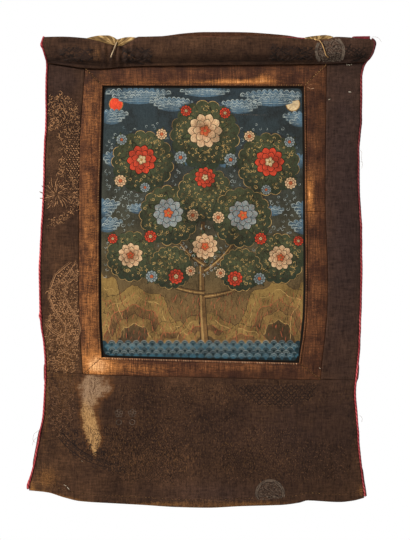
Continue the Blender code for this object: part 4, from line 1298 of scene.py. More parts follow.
def bumps(path, long, high, count=7):
    """A path as a row of bumps to its left, each an arc that stands off by high * sin(pi * t)^0.7."""
    path = np.asarray(path, float)
    number = max(round(walked(path)[-1] / long), 2)
    fine = resampled(path, number * (count - 1) + 1)
    off = high * np.sin(np.linspace(0, math.pi, count)[:-1]) ** 0.7
    fine = fine + sideways(fine) * np.append(np.tile(off, number), 0)[:, None]
    return fine[np.arange(number)[:, None] * (count - 1) + np.arange(count)]


def arcs(x, y, radius, count=6):
    """A circle as a few arcs."""
    ends = 2 * math.pi * np.arange(count) / count
    return polar(x, y, radius, ends[:, None] + np.linspace(0, 2 * math.pi / count + 0.03, STEPS))


def rays(x, y, inner, outer, first, last, count, steps=STEPS):
    """Strokes that spread from a middle, every other one shorter."""
    angle = np.linspace(first, last, count)[:, None]
    far = outer * np.where(np.arange(count) % 2, 1, 0.8)
    reach = inner + (far - inner)[:, None] * np.linspace(0, 1, steps)
    return polar(x, y, reach, angle + reach * 0.012)


def between(x0, y0, x1, y1, steps=4):
    """Straight lines from places to places, as one array."""
    start, end = np.stack(np.broadcast_arrays(x0, y0), -1), np.stack(np.broadcast_arrays(x1, y1), -1)
    return start[:, None] + (end - start)[:, None] * np.linspace(0, 1, steps)[:, None]


def wound(middle, size, start, turns, steps=9):
    """Curls round each middle, by so many turns from an angle: their reach is size * (1 - 0.8 * t^0.8)."""
    t = np.linspace(0, 1, steps)
    angle = np.reshape(start, (-1, 1)) + 2 * math.pi * np.reshape(turns, (-1, 1)) * t
    reach = np.reshape(size, (-1, 1)) * (1 - 0.8 * t**0.8)
    return np.asarray(middle)[:, None] + polar(0, 0, reach, angle)


# %% Paths strewn over a region


def within(outline, places):
    """Which places lie inside an outline: a line to their right crosses it an odd number of times."""
    x, y = places[..., 0, None], places[..., 1, None]
    x0, y0 = np.array(outline, float).T
    x1, y1 = np.roll(x0, -1), np.roll(y0, -1)
    at = x0 + (y - y0) * (x1 - x0) / np.where(y1 == y0, 1, y1 - y0)
    return (((y0 > y) != (y1 > y)) & (x < at)).sum(-1) % 2 == 1


def sown(outline, pitch, draw, stray=0.3):
    """Places inside an outline on a grid of staggered rows, each strayed a little at random."""
    low, high = np.min(outline, 0), np.max(outline, 0) + pitch
    x, y = np.meshgrid(np.arange(low[0], high[0], pitch), np.arange(low[1], high[1], pitch * 0.87))
    x = x + pitch / 2 * (np.arange(len(x)) % 2)[:, None]
    places = np.stack([x, y], -1).reshape(-1, 2)
    places = places + draw.uniform(-stray, stray, places.shape) * pitch
    return places[within(outline, places)]


def curls(outline, pitch, size, seed, turns=(0.35, 1.0), stray=0.4):
    """A tangle of hooks and curls, of sizes, turns and angles drawn at random, either way round."""
    draw = np.random.default_rng(seed)
    middle = sown(outline, pitch, draw, stray)
    count = len(middle)
    turned = draw.choice([-1, 1], count) * draw.uniform(*turns, count)
    return wound(middle, size * draw.uniform(0.6, 1.3, count), draw.uniform(0, 6.3, count), turned)


def dashes(outline, pitch, long, lean, spread, seed, stray=0.3, steps=4):
    """Short strokes inside an outline, leaning by lean, more or less."""
    draw = np.random.default_rng(seed)
    middle = sown(outline, pitch, draw, stray)
    turn = draw.normal(lean, spread, len(middle))[:, None]
    reach = long * draw.uniform(0.5, 1.2, len(middle))[:, None] * np.linspace(-0.5, 0.5, steps)
    return middle[:, None] + polar(0, 0, reach, turn)


def ridges(name, groups, surface, finish, slot="brocade", high=0.34, sunk=0.3):
    """One mesh of many lines. groups holds pairs: an array of lines by points by places, and their width.

    A line's section is a triangle: two edges sunk in the cloth and a crest above it, as wide at the cloth's
    face as asked. Its width swells from its ends as sin(t)^0.4. Each line has a brightness of its own, with a
    painted highlight on its crest and painted shade on its sunk edges.
    """
    draw = np.random.default_rng(len(groups))
    points, around, ends, crests, start = [], [], [], [], 0
    for paths, wide in groups:
        swell = 0.25 + 0.75 * np.sin(np.linspace(0, math.pi, paths.shape[1])) ** 0.4
        half = sideways(paths) * (wide * (high + sunk) / high / 2 * swell)[:, None]
        across, down = np.moveaxis(np.stack([paths - half, paths, paths + half], 2), -1, 0)
        forward = surface(paths[..., 0], paths[..., 1])[..., None] + np.array([-sunk, high, -sunk])
        ids = start + np.arange(across.size).reshape(across.shape)
        beside = np.roll(ids, -1, axis=2)
        around.append(np.stack([ids[:, :-1], beside[:, :-1], beside[:, 1:], ids[:, 1:]], -1).reshape(-1, 4))
        ends += [ids[:, 0, ::-1], ids[:, -1]]
        points.append(spots(across, down, forward).reshape(-1, 3))
        # A tone of its own for each line, with a painted highlight on its crest and painted shade on its
        # edges.
        tone_and_highlight = draw.uniform(0, 0.8, (len(paths), 1, 1)) + np.array([-0.2, 0.3, -0.2])
        crests.append(np.broadcast_to(tone_and_highlight, across.shape).ravel())
        start += across.size
    points, around, ends, crests = (np.concatenate(rows) for rows in (points, around, ends, crests))
    piece = mesh_piece(name, points, [around, ends], finish, {"crest": crests}, crease=60)
    dress(piece, slot)
    print(f"{name}: {len(ends) // 2} lines, {2 * len(around) + len(ends)} triangles")


# %% [markdown]
# ## The woven figure
#
# Damask shows its figure by threads that float over the ground and catch more light. On the left panel they
# make a bank of cloud scrolls over a net of scales, a fan of rays, and lower down a wide curved band between
# flowing lines. The motifs are the usual ones and each is a formula. A tangle of small curls fills a region,
# as it does on the cloth, where one scroll grows out of another.

# %% Figure on the left panel
BANK = [(-282, 117), (-262, 109), (-245, 115), (-231, 130), (-225, 150), (-226, 186), (-252, 188),
        (-262, 176), (-282, 180)]
NET = [(-250, 190), (-226, 186), (-226, 262), (-246, 262), (-250, 236)]
BESIDE_NET = [(-268, 184), (-248, 192), (-250, 262), (-268, 262), (-258, 222)]
UNDER_NET = [(-250, 262), (-226, 264), (-226, 320), (-250, 330), (-246, 292)]
LOW_SCROLL = [(-284, 338), (-262, 331), (-238, 317), (-234, 327), (-256, 345), (-282, 353)]
CURVE = [(-232, 424), (-260, 446), (-268, 474), (-256, 500), (-240, 522), (-236, 542), (-250, 560),
         (-270, 568)]
LOWER = [(-284, 470), (-262, 442), (-228, 410), (-228, 612), (-284, 614), (-286, 560), (-287, 520),
         (-276, 500)]
BELOW = [(-284, 622), (-240, 624), (-234, 690), (-252, 734), (-288, 708)]


def panel_front(across, down):
    return CLOTH_BACK + hang(across, down) + BROCADE


def tangle(outline, pitch, seed, wide=1.15):
    """A dense scroll: short hooks, some longer curls, and strokes in the gaps."""
    return [
        (curls(outline, pitch, pitch * 0.62, seed, (0.22, 0.65)), wide),
        (curls(outline, pitch * 2.1, pitch * 0.85, seed + 1, (0.5, 0.95)), wide * 1.1),
        (dashes(outline, pitch * 0.95, pitch * 0.8, 1.2, 1.1, seed + 2), wide * 0.85),
    ]


band = resampled(CURVE, 40)
inside_band = np.concatenate([band - sideways(band) * 11, (band + sideways(band) * 11)[::-1]])
upper = tangle(BANK, 5.0, 1, 1.0) + tangle(BESIDE_NET, 6.0, 4, 1.0) + tangle(UNDER_NET, 5.4, 7, 1.0) + [
    (dashes(NET, 4.6, 4.2, 0.75, 0.15, 13, 0.1), 1.5), (dashes(NET, 4.6, 3.6, -0.75, 0.25, 14, 0.15), 1.1),
    (rays(-267, 292, 3, 15, 0.9, 7.0, 19), 1.2), (rays(-267, 292, 13, 23, 0.9, 5.7, 27), 1.3),
    (rays(-267, 292, 22, 31, 1.2, 5.4, 23), 1.1), (rays(-267, 292, 12, 32, -0.6, 0.8, 7), 1.2),
] + tangle(LOW_SCROLL, 5.4, 10, 1.0)
lower = tangle(LOWER, 5.6, 15, 1.05) + [
    (dashes(inside_band, 4.6, 4.0, 0.8, 0.2, 18, 0.1), 1.6), (abreast(band, -14, -11.5, 12.5, 15), 1.3),
    (abreast(bow((-283, 466), (-229, 412), 7), -3, 0), 1.4),
    (abreast(bow((-286, 522), (-250, 548), 5), -3, 0, 3), 1.2),
]
ridges("figure_upper_left", upper, panel_front, FIGURE_FINISH, high=0.45)
ridges("figure_lower_left", lower, panel_front, FIGURE_FINISH, high=0.4)

# %% [markdown]
# On the lower panel the figure is nearly worn away. A raking light still finds a fan of scales, dark curls
# and a dense nap of short floats, and near the foot a pale roundel that the hem's rubbed band cuts off. The
# sleeve was cut from the same cloth, so dark knotwork and another cut roundel wrap over its ridge.

# %% Figure on the lower panel and the sleeve
HEM_DISC, SLEEVE_DISC = (117, 832, 27), (224, 36, 27)  # each disc's middle, across and down, and radius
FAN = [(45, 634), (205, 630), (196, 660), (150, 676), (96, 672), (60, 654)]
NAP_LEFT = [(-206, 712), (-60, 706), (-20, 760), (-60, 812), (-150, 806), (-196, 772)]
NAP_RIGHT = [(20, 742), (250, 736), (262, 806), (40, 812)]
NAP_MIDDLE = [(-160, 636), (40, 636), (60, 700), (20, 740), (-60, 706), (-150, 700)]
DARK_SCROLL = [(-262, 706), (-238, 712), (-196, 748), (-150, 770), (-140, 796), (-190, 786), (-236, 760),
               (-258, 736)]
CURL_ROW = [(72, 712), (164, 710), (170, 734), (70, 738)]


bottom_front = front_of(panel_faces(BOTTOM_EDGES, hem=True))


def on_sleeve(paths):
    """Only the lines that lie well inside the sleeve's front."""
    across, down = paths[..., 0], paths[..., 1]
    clear = (down > TOP["sleeve"](across) + 3.5) & (down < FOOT["sleeve"](across) - 3)
    return paths[clear.all(1)]


def above_hem(paths):
    """Only the lines that stay above the hem's rubbed band."""
    return paths[(paths[..., 1] < HEM_FOOT(paths[..., 0]) - 11).all(1)]


def blossom(x, y, reach, size, count=5):
    """Small rings evenly round a middle."""
    turns = 2 * math.pi * np.arange(count) / count - math.pi / 2
    return np.concatenate([arcs(x + reach * math.cos(a), y + reach * math.sin(a), size, 3) for a in turns])


def roundel(x, y, r, clip):
    """A woven disc: a broad ring round it, and soft floats that all lie one way."""
    rings = [(arcs(x, y, r * share, 32), 1.9) for share in (0.97, 0.91, 0.85)]
    parts = rings + [(dashes(circle(x, y, r * 0.8), 2.5, 3.0, 0.05, 0.12, 61, 0.2), 1.5)]
    return [(clip(paths), wide) for paths, wide in parts]


def wheel(x, y, r, clip):
    """The dark petals that lie on a roundel, round a small ring."""
    parts = [(rays(x, y, r * 0.3, r * 0.72, 0.1, 5.86, 12, 6), 2.4), (arcs(x, y, r * 0.2, 8), 1.6),
             (arcs(x, y, r * 0.79, 28), 1.4)]
    return [(clip(paths), wide) for paths, wide in parts]


def scales(outline, long, high, rise):
    """Rows of hanging scales inside an outline, each row half a scale along."""
    low, far = np.min(outline, 0), np.max(outline, 0)
    count, rows = round((far[0] - low[0]) / long) + 1, []
    for k, y in enumerate(np.arange(low[1], far[1], rise)):
        start = low[0] - long / 2 * (k % 2)
        rows.append(bumps([(start, y), (start + long * count, y)], long, high))
    rows = np.concatenate(rows)
    return rows[within(outline, rows).all(1)]


nap = [(NAP_LEFT, 8.6, 15), (NAP_RIGHT, 10.5, 18), (NAP_MIDDLE, 11.5, 21), (CURL_ROW, 8.6, 24)]
faint = [(curls(outline, pitch * 1.7, 2.6, seed, (0.2, 0.6)), 0.8) for outline, pitch, seed in nap]
faint += [(dashes(outline, pitch * 0.56, 2.8, 1.55, 0.3, seed + 1, 0.45), 0.75)
          for outline, pitch, seed in nap]
faint += [(dashes(FAN, 5.4, 3.0, -0.7, 0.2, 29, 0.15), 0.8)]
dark = [(dashes(outline, pitch * 0.62, 3.2, 1.5, 0.6, seed + 2, 0.45), 1.2) for outline, pitch, seed in nap]
dark += [(scales(FAN, 9.6, 5.4, 4.4), 1.7), (curls(DARK_SCROLL, 7.6, 4.8, 30, (0.4, 1.1)), 1.7),
         (abreast(bow((-262, 718), (-168, 776), 12), -3, 0, 8), 1.6)]
pale = [(blossom(x, 686, 4.6, 2.6), 1.2) for x in (-155, -131)]
pale += [(arcs(x, 702, 4.6, 6), 1.4) for x in (-155, -131)]
ridges("figure_faint_lower", faint + tangle(BELOW, 7.0, 31), bottom_front, FAINT_FINISH, high=0.3)
ridges("figure_dark_lower", dark + wheel(*HEM_DISC, above_hem), bottom_front, DARK_FINISH, high=0.28)
ridges("figure_pale_lower", pale + roundel(*HEM_DISC, above_hem), bottom_front, PALE_FINISH, high=0.24)

KNOTWORK = [[(120, 26), (196, 25), (192, 56), (116, 57)], [(-148, 34), (-98, 28), (-92, 58), (-146, 59)],
            [(-262, 30), (-206, 28), (-204, 56), (-256, 55)], [(252, 28), (290, 30), (280, 54), (250, 54)]]
strokes = [(dashes(outline, 8.5, 15, lean, 0.22, 70 + k, 0.2, 8), 2.2)
           for k, outline in enumerate(KNOTWORK) for lean in (0.62, -0.62)]
strokes += [(bumps([(118, 53), (194, 51.5)], 12, -3.5, 9), 2.6),
            (abreast(bow((-248, 57), (-204, 49), -4), -2, 0), 1.4)]
sleeve_dark = [(on_sleeve(paths), wide) for paths, wide in strokes] + wheel(*SLEEVE_DISC, on_sleeve)
ridges("figure_dark_sleeve", sleeve_dark, sleeve_front, DARK_FINISH, high=0.32)
ridges("figure_pale_sleeve", roundel(*SLEEVE_DISC, on_sleeve), sleeve_front, ROUNDEL_FINISH, high=0.26)

# %% [markdown]
# ## The painting
#
# The canvas is painted in flat distemper colours with fine outlines, one laid over another. So the picture
# here is a list of outlines in the order they are painted, and one constrained triangulation cuts the canvas
# along all of them at once. Each triangle takes the colour of the last outline that covers it. Edges stay
# crisp at any distance, and there is no image. The design is a plain one: a flowering tree between clouds,
# on banded hills by a pond. The fine lines that a brush adds on top are gathered in lists of their own.

# %% Outlines
LAID = {"outline": [], "colour": [], "shade": [], "middle": [], "reach": []}
LINES = {name: [] for name in BRUSHES}
WINDOW = (SILKS["inner_left"], SILKS["inner_right"], WINDOW_TOP, WINDOW_BOTTOM)
BORDER, ROUNDED = 4, 8
INK, DUSK, GOLD, BRONZE = "15120f", "303b41", "8d6b3c", "4c3822"
SLATE, PALE, CREAM, ROSE = "4e6676", "8f9288", "cbb189", "a8704f"
RED, RUST, OLIVE, LEAF, MOSS, OCHRE = "c8432b", "6c2c1f", "484b33", "5c6440", "2e3427", "80663a"


def lay(outline, colour, shade=None, middle=(0.0, 0.0), reach=1.0):
    """Paints an outline, counter-clockwise. Its colour turns to shade with the distance from middle."""
    x, y = np.asarray(outline, float).reshape(-1, 2).T
    if np.sum(x * np.roll(y, -1) - y * np.roll(x, -1)) < 0:
        x, y = x[::-1], y[::-1]
    row = (np.stack([x, y], 1), tint(colour), tint(shade or colour), middle, reach)
    for key, value in zip(LAID, row):
        LAID[key].append(value)


def draw_lines(kind, paths, wide, rounds=None):
    """Adds brush lines, but none that cross the picture's edge or a round shape, which would cover them."""
    paths = paths[(to_nearest(paths[..., 0], -paths[..., 1], WINDOW) > BORDER + 1).all(1)]
    if rounds is not None and len(rounds["x"]):
        away = np.hypot(paths[..., 0, None] - rounds["x"], paths[..., 1, None] - rounds["y"])
        paths = paths[(away > rounds["r"]).all((1, 2))]
    if len(paths):
        LINES[kind].append((paths * np.array([1, -1]), wide))


def petal(x, y, turn, start, end, wide, count=7):
    """A petal from radius start to end: half its width is 1.3 * wide * t^0.6 * (1 - t)^0.75."""
    t = np.linspace(0, 1, count)
    half = 1.3 * wide * t**0.6 * (1 - t) ** 0.75
    out = start + (end - start) * np.concatenate([t, t[-2:0:-1]])
    aside = np.concatenate([half, -half[-2:0:-1]])
    cosine, sine = math.cos(turn), math.sin(turn)
    return np.stack([x + out * cosine - aside * sine, y + out * sine + aside * cosine], 1)


def stroke(path, wide, taper=0.4):
    """A brush stroke: a path given a width, which thins from its start to taper at its end."""
    path = np.asarray(path, float)
    half = wide / 2 * np.linspace(1, taper, len(path))[:, None]
    return np.concatenate([path + sideways(path) * half, (path - sideways(path) * half)[::-1]])


# %% [markdown]
# Each motif is a few rings of petals or rows of round bumps. A ring or a row is one loop, and the numbers in
# it are sizes on the canvas in millimetres, with y upwards from the top edge of the scroll.

# %% Motifs
KINDS = [(CREAM, ROSE, RED), (RED, RUST, CREAM), (PALE, SLATE, RED)]  # tips, bases and heart of a flower


def both_sides(names, rows):
    """A table whose rows off the middle line are repeated on its other side, a little lower."""
    return table(names, rows + [(2 - row[0], row[1] - 4, *row[2:]) for row in rows if row[0]])


def ring(x, y, count, start, end, wide, colour, shade, turn, points):
    """A ring of petals, each with a dark edge, one over the next."""
    edge = 0.5 + end / 60
    for k in range(count):
        angle = turn + 2 * math.pi * k / count
        lay(petal(x, y, angle, start, end, wide, points), INK)
        inside = petal(x, y, angle, start + edge, end - edge * 1.6, wide - 1.5 * edge, points)
        lay(inside, colour, shade, (x, y), end)


def flower(x, y, r, kind, turn):
    """A full flower: pointed leaves, two rings of round petals, and a small open heart."""
    tip, base, heart = KINDS[kind]
    points = 8 if r > 18 else 6
    ring(x, y, 6, r * 0.6, r * 1.34, r * 0.3, LEAF, MOSS, turn + 0.3, 6)
    ring(x, y, 10, r * 0.4, r, r * 0.52, base, tip, turn, points)
    ring(x, y, 7, r * 0.14, r * 0.68, r * 0.44, base, tip, turn + 0.4, points)
    ring(x, y, 5, 0, r * 0.36, r * 0.26, heart, GOLD, turn, 6)
    lay(circle(x, y, r * 0.09, 8), GOLD)
    if r > 18:
        draw_lines("rust", rays(x, y, r * 0.66, r * 0.88, turn, turn + 6.2, 40, 4), 0.45)
        draw_lines("rust", rays(x, y, r * 0.36, r * 0.58, turn, turn + 6.2, 28, 4), 0.4)


def cloud_bank(x, y, wide, size, rows, hidden):
    """A drift of cloud: rows of round bumps, each shorter and lower than the one before and over it."""
    for row in range(rows):
        reach, low = wide / 2 * (1 - 0.2 * row), y - 0.95 * size * row
        left, right = (x - reach, low), (x + reach, low)
        top = bumps(bow(left, right, size * 1.2), size * 1.5, size * 0.75)
        outline = np.concatenate([top.reshape(-1, 2), bow(right, left, size * 0.9, 12)])
        lay(outline, SLATE, DUSK, (x, low + size), reach)
        draw_lines("mist", top, 0.9, hidden)
        draw_lines("mist", wound(top[:, 3] - np.array([0, size * 0.6]), size * 0.42, 1.6, 1.1), 0.7, hidden)
        for rise in (0.5, -0.1):
            draw_lines("mist", bumps(bow(left, right, size * rise), 9, 0.3, 5), 0.6, hidden)


def bush(x, y, r, hidden, seed):
    """A mass of leaves with a bumpy edge, filled with fine scrolls."""
    edge = bumps(np.append(circle(x, y, r), circle(x, y, r)[:1], 0), r * 0.36, -r * 0.09)
    lay(edge, OLIVE, MOSS, (x, y + r * 0.3), r * 1.2)
    draw_lines("gold", edge, 0.9, hidden)
    draw_lines("dark", bumps(circle(x, y, r * 1.08), r * 0.36, 0), 1.0, hidden)
    inside = circle(x, y, r * 0.93)
    scroll = curls(inside, 6.2, 3.2, seed, (0.5, 1.2))
    bright = np.random.default_rng(seed).random(len(scroll)) < 0.55
    draw_lines("gold", scroll[bright], 0.75, hidden)
    draw_lines("dark", scroll[~bright], 0.9, hidden)


def hill(x, y, wide, high, colours, hidden):
    """A banded hill: each band is a lower arch inside the one before, with streaks between."""
    for k, colour in enumerate(colours):
        share, angle = 1 - 0.15 * k, np.linspace(0, math.pi, 26)
        edge = share * (1 + 0.05 * np.sin(9 * angle + x))
        arch = np.stack([x + wide * np.cos(angle) * edge, y + high * np.sin(angle) ** 0.8 * edge], 1)
        lay(arch, colour, OCHRE, (x, y), wide * 1.4)
        streaks = bumps(arch, 11, 0.5, 6)
        streaks = streaks[(streaks[..., 1] > POND_TOP + 3).all(1)]
        draw_lines(("dark", "gold", "rust")[k % 3], streaks, 0.9, hidden)


def pond(left, right, top, rows, size):
    """Water: rows of round scales, each row over the one above it and half a scale along."""
    for row in range(rows):
        start, finish, level_at = left + size * (row % 2), right + size * (row % 2), top - row * size * 0.8
        edge = bumps([(start, level_at), (finish, level_at)], 2 * size, size * 0.95)
        feet = [(finish, top - rows * size), (start, top - rows * size)]
        lay(np.concatenate([edge.reshape(-1, 2), feet]), ("22343a", "31505c", "1b2a2e")[row % 3])
        middle = (edge[:, :1] + edge[:, -1:]) / 2
        for share in (1.0, 0.55):
            draw_lines("mist", middle + (edge - middle) * share, 0.6)


# %% The picture
BUSHES = both_sides("x y r", [
    (-132, -404, 42), (-112, -234, 52), (-62, -424, 36), (-64, -330, 50), (0, -292, 46), (0, -186, 58),
])
FLOWERS = both_sides("x y r kind", [
    (0, -178, 33, 0), (-114, -230, 28, 1), (-66, -326, 29, 2), (0, -262, 20, 1), (-134, -402, 24, 0),
    (0, -386, 25, 0), (-52, -440, 15, 1), (-44, -226, 13, 2), (-152, -268, 12, 0), (-98, -368, 12, 1),
    (-22, -330, 12, 0), (-150, -194, 11, 2), (-78, -184, 11, 0), (-96, -440, 12, 2), (-34, -142, 11, 1),
    (-166, -372, 10, 1), (-108, -280, 10, 2), (-26, -430, 10, 0),
])
CLOUDS = both_sides("x y wide size rows", [
    (-120, -112, 118, 6.5, 3), (-60, -128, 80, 5.5, 3), (-168, -150, 60, 6, 3), (-180, -312, 52, 6.5, 4),
    (-176, -344, 56, 6, 3), (-166, -226, 40, 6, 3), (0, -108, 90, 5, 2), (-120, -318, 40, 5, 2),
    (-34, -232, 30, 4.5, 2),
])
# The trunk and its branches: where each starts and ends, how far it bows and how wide it is.
GROWN = [((0, -566), (0, -300), 6, 13), ((0, -420), (-66, -330), 12, 8), ((0, -430), (70, -334), -12, 8),
         ((0, -470), (-128, -410), 14, 7), ((0, -476), (130, -414), -14, 7),
         ((-40, -350), (-112, -240), 10, 6), ((42, -354), (114, -244), -10, 6)]
HILLS = table("x y wide high", [
    (-184, -584, 46, 150), (186, -586, 42, 134), (-126, -570, 78, 110), (132, -566, 72, 116),
    (2, -574, 62, 66), (-60, -586, 48, 66), (68, -586, 50, 60),
])
OCHRES = ("745a36", "8c6e42", "58392a", "7a5e38", "433426")
POND_TOP = -556
SKY = [(-178, -104), (174, -104), (174, -440), (-180, -440)]
TRUNK = {"x": np.full(24, 1.0), "y": np.linspace(-562, -330, 24), "r": np.full(24, 9.0)}


def later(rows, k):
    """What is painted after the bush of number k: the bushes that follow, and all the flowers."""
    grown = {"x": 1, "y": 1, "r": 1.08}
    return {key: np.concatenate([rows[key][k + 1:] * by, FLOWERS[key]]) for key, by in grown.items()}


def joined(*rows):
    """Several sets of round shapes as one."""
    return {key: np.concatenate([row[key] for row in rows]) for key in "xyr"}


def rim(curve, out, key):
    """A dark line round the picture, from far under the silk to BORDER inside an edge of the window."""
    at = np.linspace(86, 606, 12) if key == "down" else np.linspace(-202, 198, 12)
    lines = [curve(at) + out * off for off in (9, -BORDER)]
    lines = [np.stack([row, -at] if key == "down" else [at, -row], 1) for row in lines]
    lay(np.concatenate([lines[0], lines[1][::-1]]), INK)


def rounded_corner(x, down, right, up):
    """The dark line's corner: inside it ends in a quarter round of radius ROUNDED."""
    t, far, past = np.linspace(0, math.pi / 2, 6), BORDER + ROUNDED, 3
    arc = np.stack([x + right * (far - ROUNDED * np.cos(t)), -down + up * (far - ROUNDED * np.sin(t))], 1)
    outer = [(x + right * far, -down - up * past), (x - right * past, -down - up * past),
             (x - right * past, -down + up * far)]
    lay(np.concatenate([arc, outer]), INK)


def paint_sky(hidden):
    for x in (-160, 158):
        for r, colour in ((13, GOLD), (11.6, RED if x < 0 else CREAM)):
            lay(circle(x, -130, r, 30), colour)
    for cloud in zip(*CLOUDS.values()):
        cloud_bank(*cloud[:4], int(cloud[4]), hidden)
    drifting = {"x": CLOUDS["x"], "y": CLOUDS["y"] - 6, "r": CLOUDS["wide"] * 0.42}
    draw_lines("mist", curls(SKY, 10.5, 3.6, 52, (0.6, 1.1)), 0.6, joined(hidden, drifting))


def paint_picture():
    crowns = later(BUSHES, -1)
    for row in zip(*HILLS.values()):
        hill(*row, OCHRES, joined(crowns, TRUNK))
    paint_sky(crowns)
    for start, end, rise, wide in GROWN:
        path = bow(start, end, rise)
        lay(stroke(path, wide + 2.4), INK)
        lay(stroke(path, wide), BRONZE, "7c5c38", (0.0, -300.0), 300)
        lay(stroke(path[:-4] + np.array([-wide * 0.18, 0]), wide * 0.3), "9a7a4c")
        draw_lines("dark", abreast(path, wide * 0.1, wide * 0.25), 0.8, crowns)
    for k, (x, y, r) in enumerate(zip(*BUSHES.values())):
        bush(x, y, r, later(BUSHES, k), 40 + k)
    for k, (x, y, r, kind) in enumerate(zip(*FLOWERS.values())):
        flower(x, y, r, int(kind), 0.7 * k)
    pond(-204, 204, POND_TOP - 6, 8, 7.4)
    earth = [(-184, -470), (178, -470), (178, POND_TOP), (-188, POND_TOP)]
    draw_lines("rust", dashes(earth, 12, 10, 1.4, 0.25, 50, 0.5, 6), 0.9, joined(FLOWERS, TRUNK))
    draw_lines("dark", dashes(earth, 11, 8, 1.7, 0.3, 51, 0.5, 6), 0.8, joined(FLOWERS, TRUNK))
    rim(SILKS["inner_left"], -1, "down")
    rim(SILKS["inner_right"], 1, "down")
    rim(WINDOW_TOP, -1, "across")
    rim(WINDOW_BOTTOM, 1, "across")
    inward = ((TOP_LEFT, 1, -1), (TOP_RIGHT, -1, -1), (BOTTOM_LEFT, 1, 1), (BOTTOM_RIGHT, -1, 1))
    for corner, right, up in inward:
        rounded_corner(*corner[2:], right, up)


paint_picture()
print("outlines laid:", len(LAID["outline"]), "with", sum(len(o) for o in LAID["outline"]), "points")

# %% [markdown]
# ## Cutting the canvas along the paint
#
# The triangulation takes every outline, the canvas's own edge and an even scatter of points that let the
# canvas follow its swells. The bare ground between the outlines is a wash that runs from a dark sky down
# through olive to ochre, so its colour comes from how far down each corner is.

# %% Canvas
PAINT_EDGES = (shifted(SILKS["inner_left"], -TUCK), shifted(SILKS["inner_right"], TUCK),
               shifted(WINDOW_TOP, -TUCK), shifted(WINDOW_BOTTOM, TUCK))
WASH = {90: "2a343a", 200: "2e3637", 330: "3f3e33", 420: "504631", 500: "6c5434", 600: "5c4830"}
CANVAS_WORN = table(HILL, [
    (0, 148, 220, 1.6, 0.6, 0.5), (-20, 201, 220, 1.5, -0.4, 0.42), (10, 256, 220, 1.4, 0.5, 0.36),
    (-10, 470, 220, 1.6, -0.5, 0.46), (20, 520, 220, 1.4, 0.4, 0.4), (0, 590, 220, 5, 0, 0.3),
    (-178, 340, 4, 250, 0, 0.25), (150, 300, 1.5, 120, 1, 0.3), (-60, 560, 50, 20, 0, 0.22),
    (60, 470, 40, 30, 20, 0.2), (-130, 300, 20, 60, 0, 0.15),
])


def canvas_rim(step=6.0):
    """The canvas's outline on the cloth, counter-clockwise, with y upwards."""
    t = np.linspace(0, 1, int(515 / step))
    u = np.concatenate([0 * t, t[1:], 0 * t[1:] + 1, t[-2:0:-1]])
    v = np.concatenate([t, 0 * t[1:] + 1, t[-2::-1], 0 * t[-2:0:-1]])
    across, down = place(u, v, PAINT_EDGES)
    return np.stack([across, -down], 1)


def cut_canvas(step=5.5):
    """Triangulates the painted canvas: its points, its triangles and the number of each one's paint."""
    outlines = [canvas_rim()] + LAID["outline"]
    starts = np.cumsum([0] + [len(outline) for outline in outlines])
    x, y = np.meshgrid(np.arange(-190, 190, step), np.arange(-600, -88, step))
    scatter = np.stack([x + step / 2 * (np.arange(len(x)) % 2)[:, None], y], -1).reshape(-1, 2)
    points = np.concatenate(outlines + [scatter])
    faces = [list(range(a, b)) for a, b in zip(starts[:-1], starts[1:])]
    found = delaunay_2d_cdt([Vector(p) for p in points.tolist()], [], faces, 0, 1e-4, True)
    points, triangles, owners = np.array(found[0])[:, :2], np.array(found[2]), found[5]
    last = np.array([max(ids) if 0 in ids else -1 for ids in owners])
    triangles, last = triangles[last >= 0], last[last >= 0]
    used, triangles = np.unique(triangles, return_inverse=True)
    return points[used], triangles.reshape(-1, 3), last


def paint_of(points, last):
    """The colour of each triangle's three corners, from its paint and from where the corners are."""
    wash = np.array([tint(code)[:3] for code in WASH.values()])
    ground = np.stack([np.interp(-points[..., 1], list(WASH), wash[:, i]) for i in range(3)], -1)
    colour, shade, middle, reach = (np.array(LAID[key]) for key in ("colour", "shade", "middle", "reach"))
    mine = np.maximum(last - 1, 0)
    away = np.linalg.norm(points - middle[mine][:, None], axis=-1) / reach[mine][:, None]
    share = np.clip(away, 0, 1)[..., None] ** 1.5
    laid = colour[mine][:, None, :3] * (1 - share) + shade[mine][:, None, :3] * share
    mixed = np.where(last[:, None, None] == 0, ground, laid)
    return np.concatenate([mixed, np.ones(mixed.shape[:2] + (1,))], -1)


def coarse_back(points, triangles, step=12.0):
    """The rim of a flat front, in order round its middle, and a back of fewer triangles that shares it."""
    edges = np.sort(np.concatenate([triangles[:, [0, 1]], triangles[:, [1, 2]], triangles[:, [2, 0]]]), 1)
    edges, count = np.unique(edges, axis=0, return_counts=True)
    ring = np.unique(edges[count == 1])
    off = points[ring] - points[ring].mean(0)
    ring = ring[np.argsort(np.arctan2(off[:, 1], off[:, 0]))]
    x, y = np.meshgrid(np.arange(-180, 165, step), np.arange(-588, -100, step))
    flat = np.concatenate([points[ring], np.stack([x, y], -1).reshape(-1, 2)])
    found = delaunay_2d_cdt([Vector(p) for p in flat.tolist()], [], [list(range(len(ring)))], 0, 1e-6, True)
    came_from = np.array([ids[0] for ids in found[3]])
    inside = np.array([len(owners) > 0 for owners in found[5]])
    return ring, flat, came_from[np.array(found[2])[inside]]


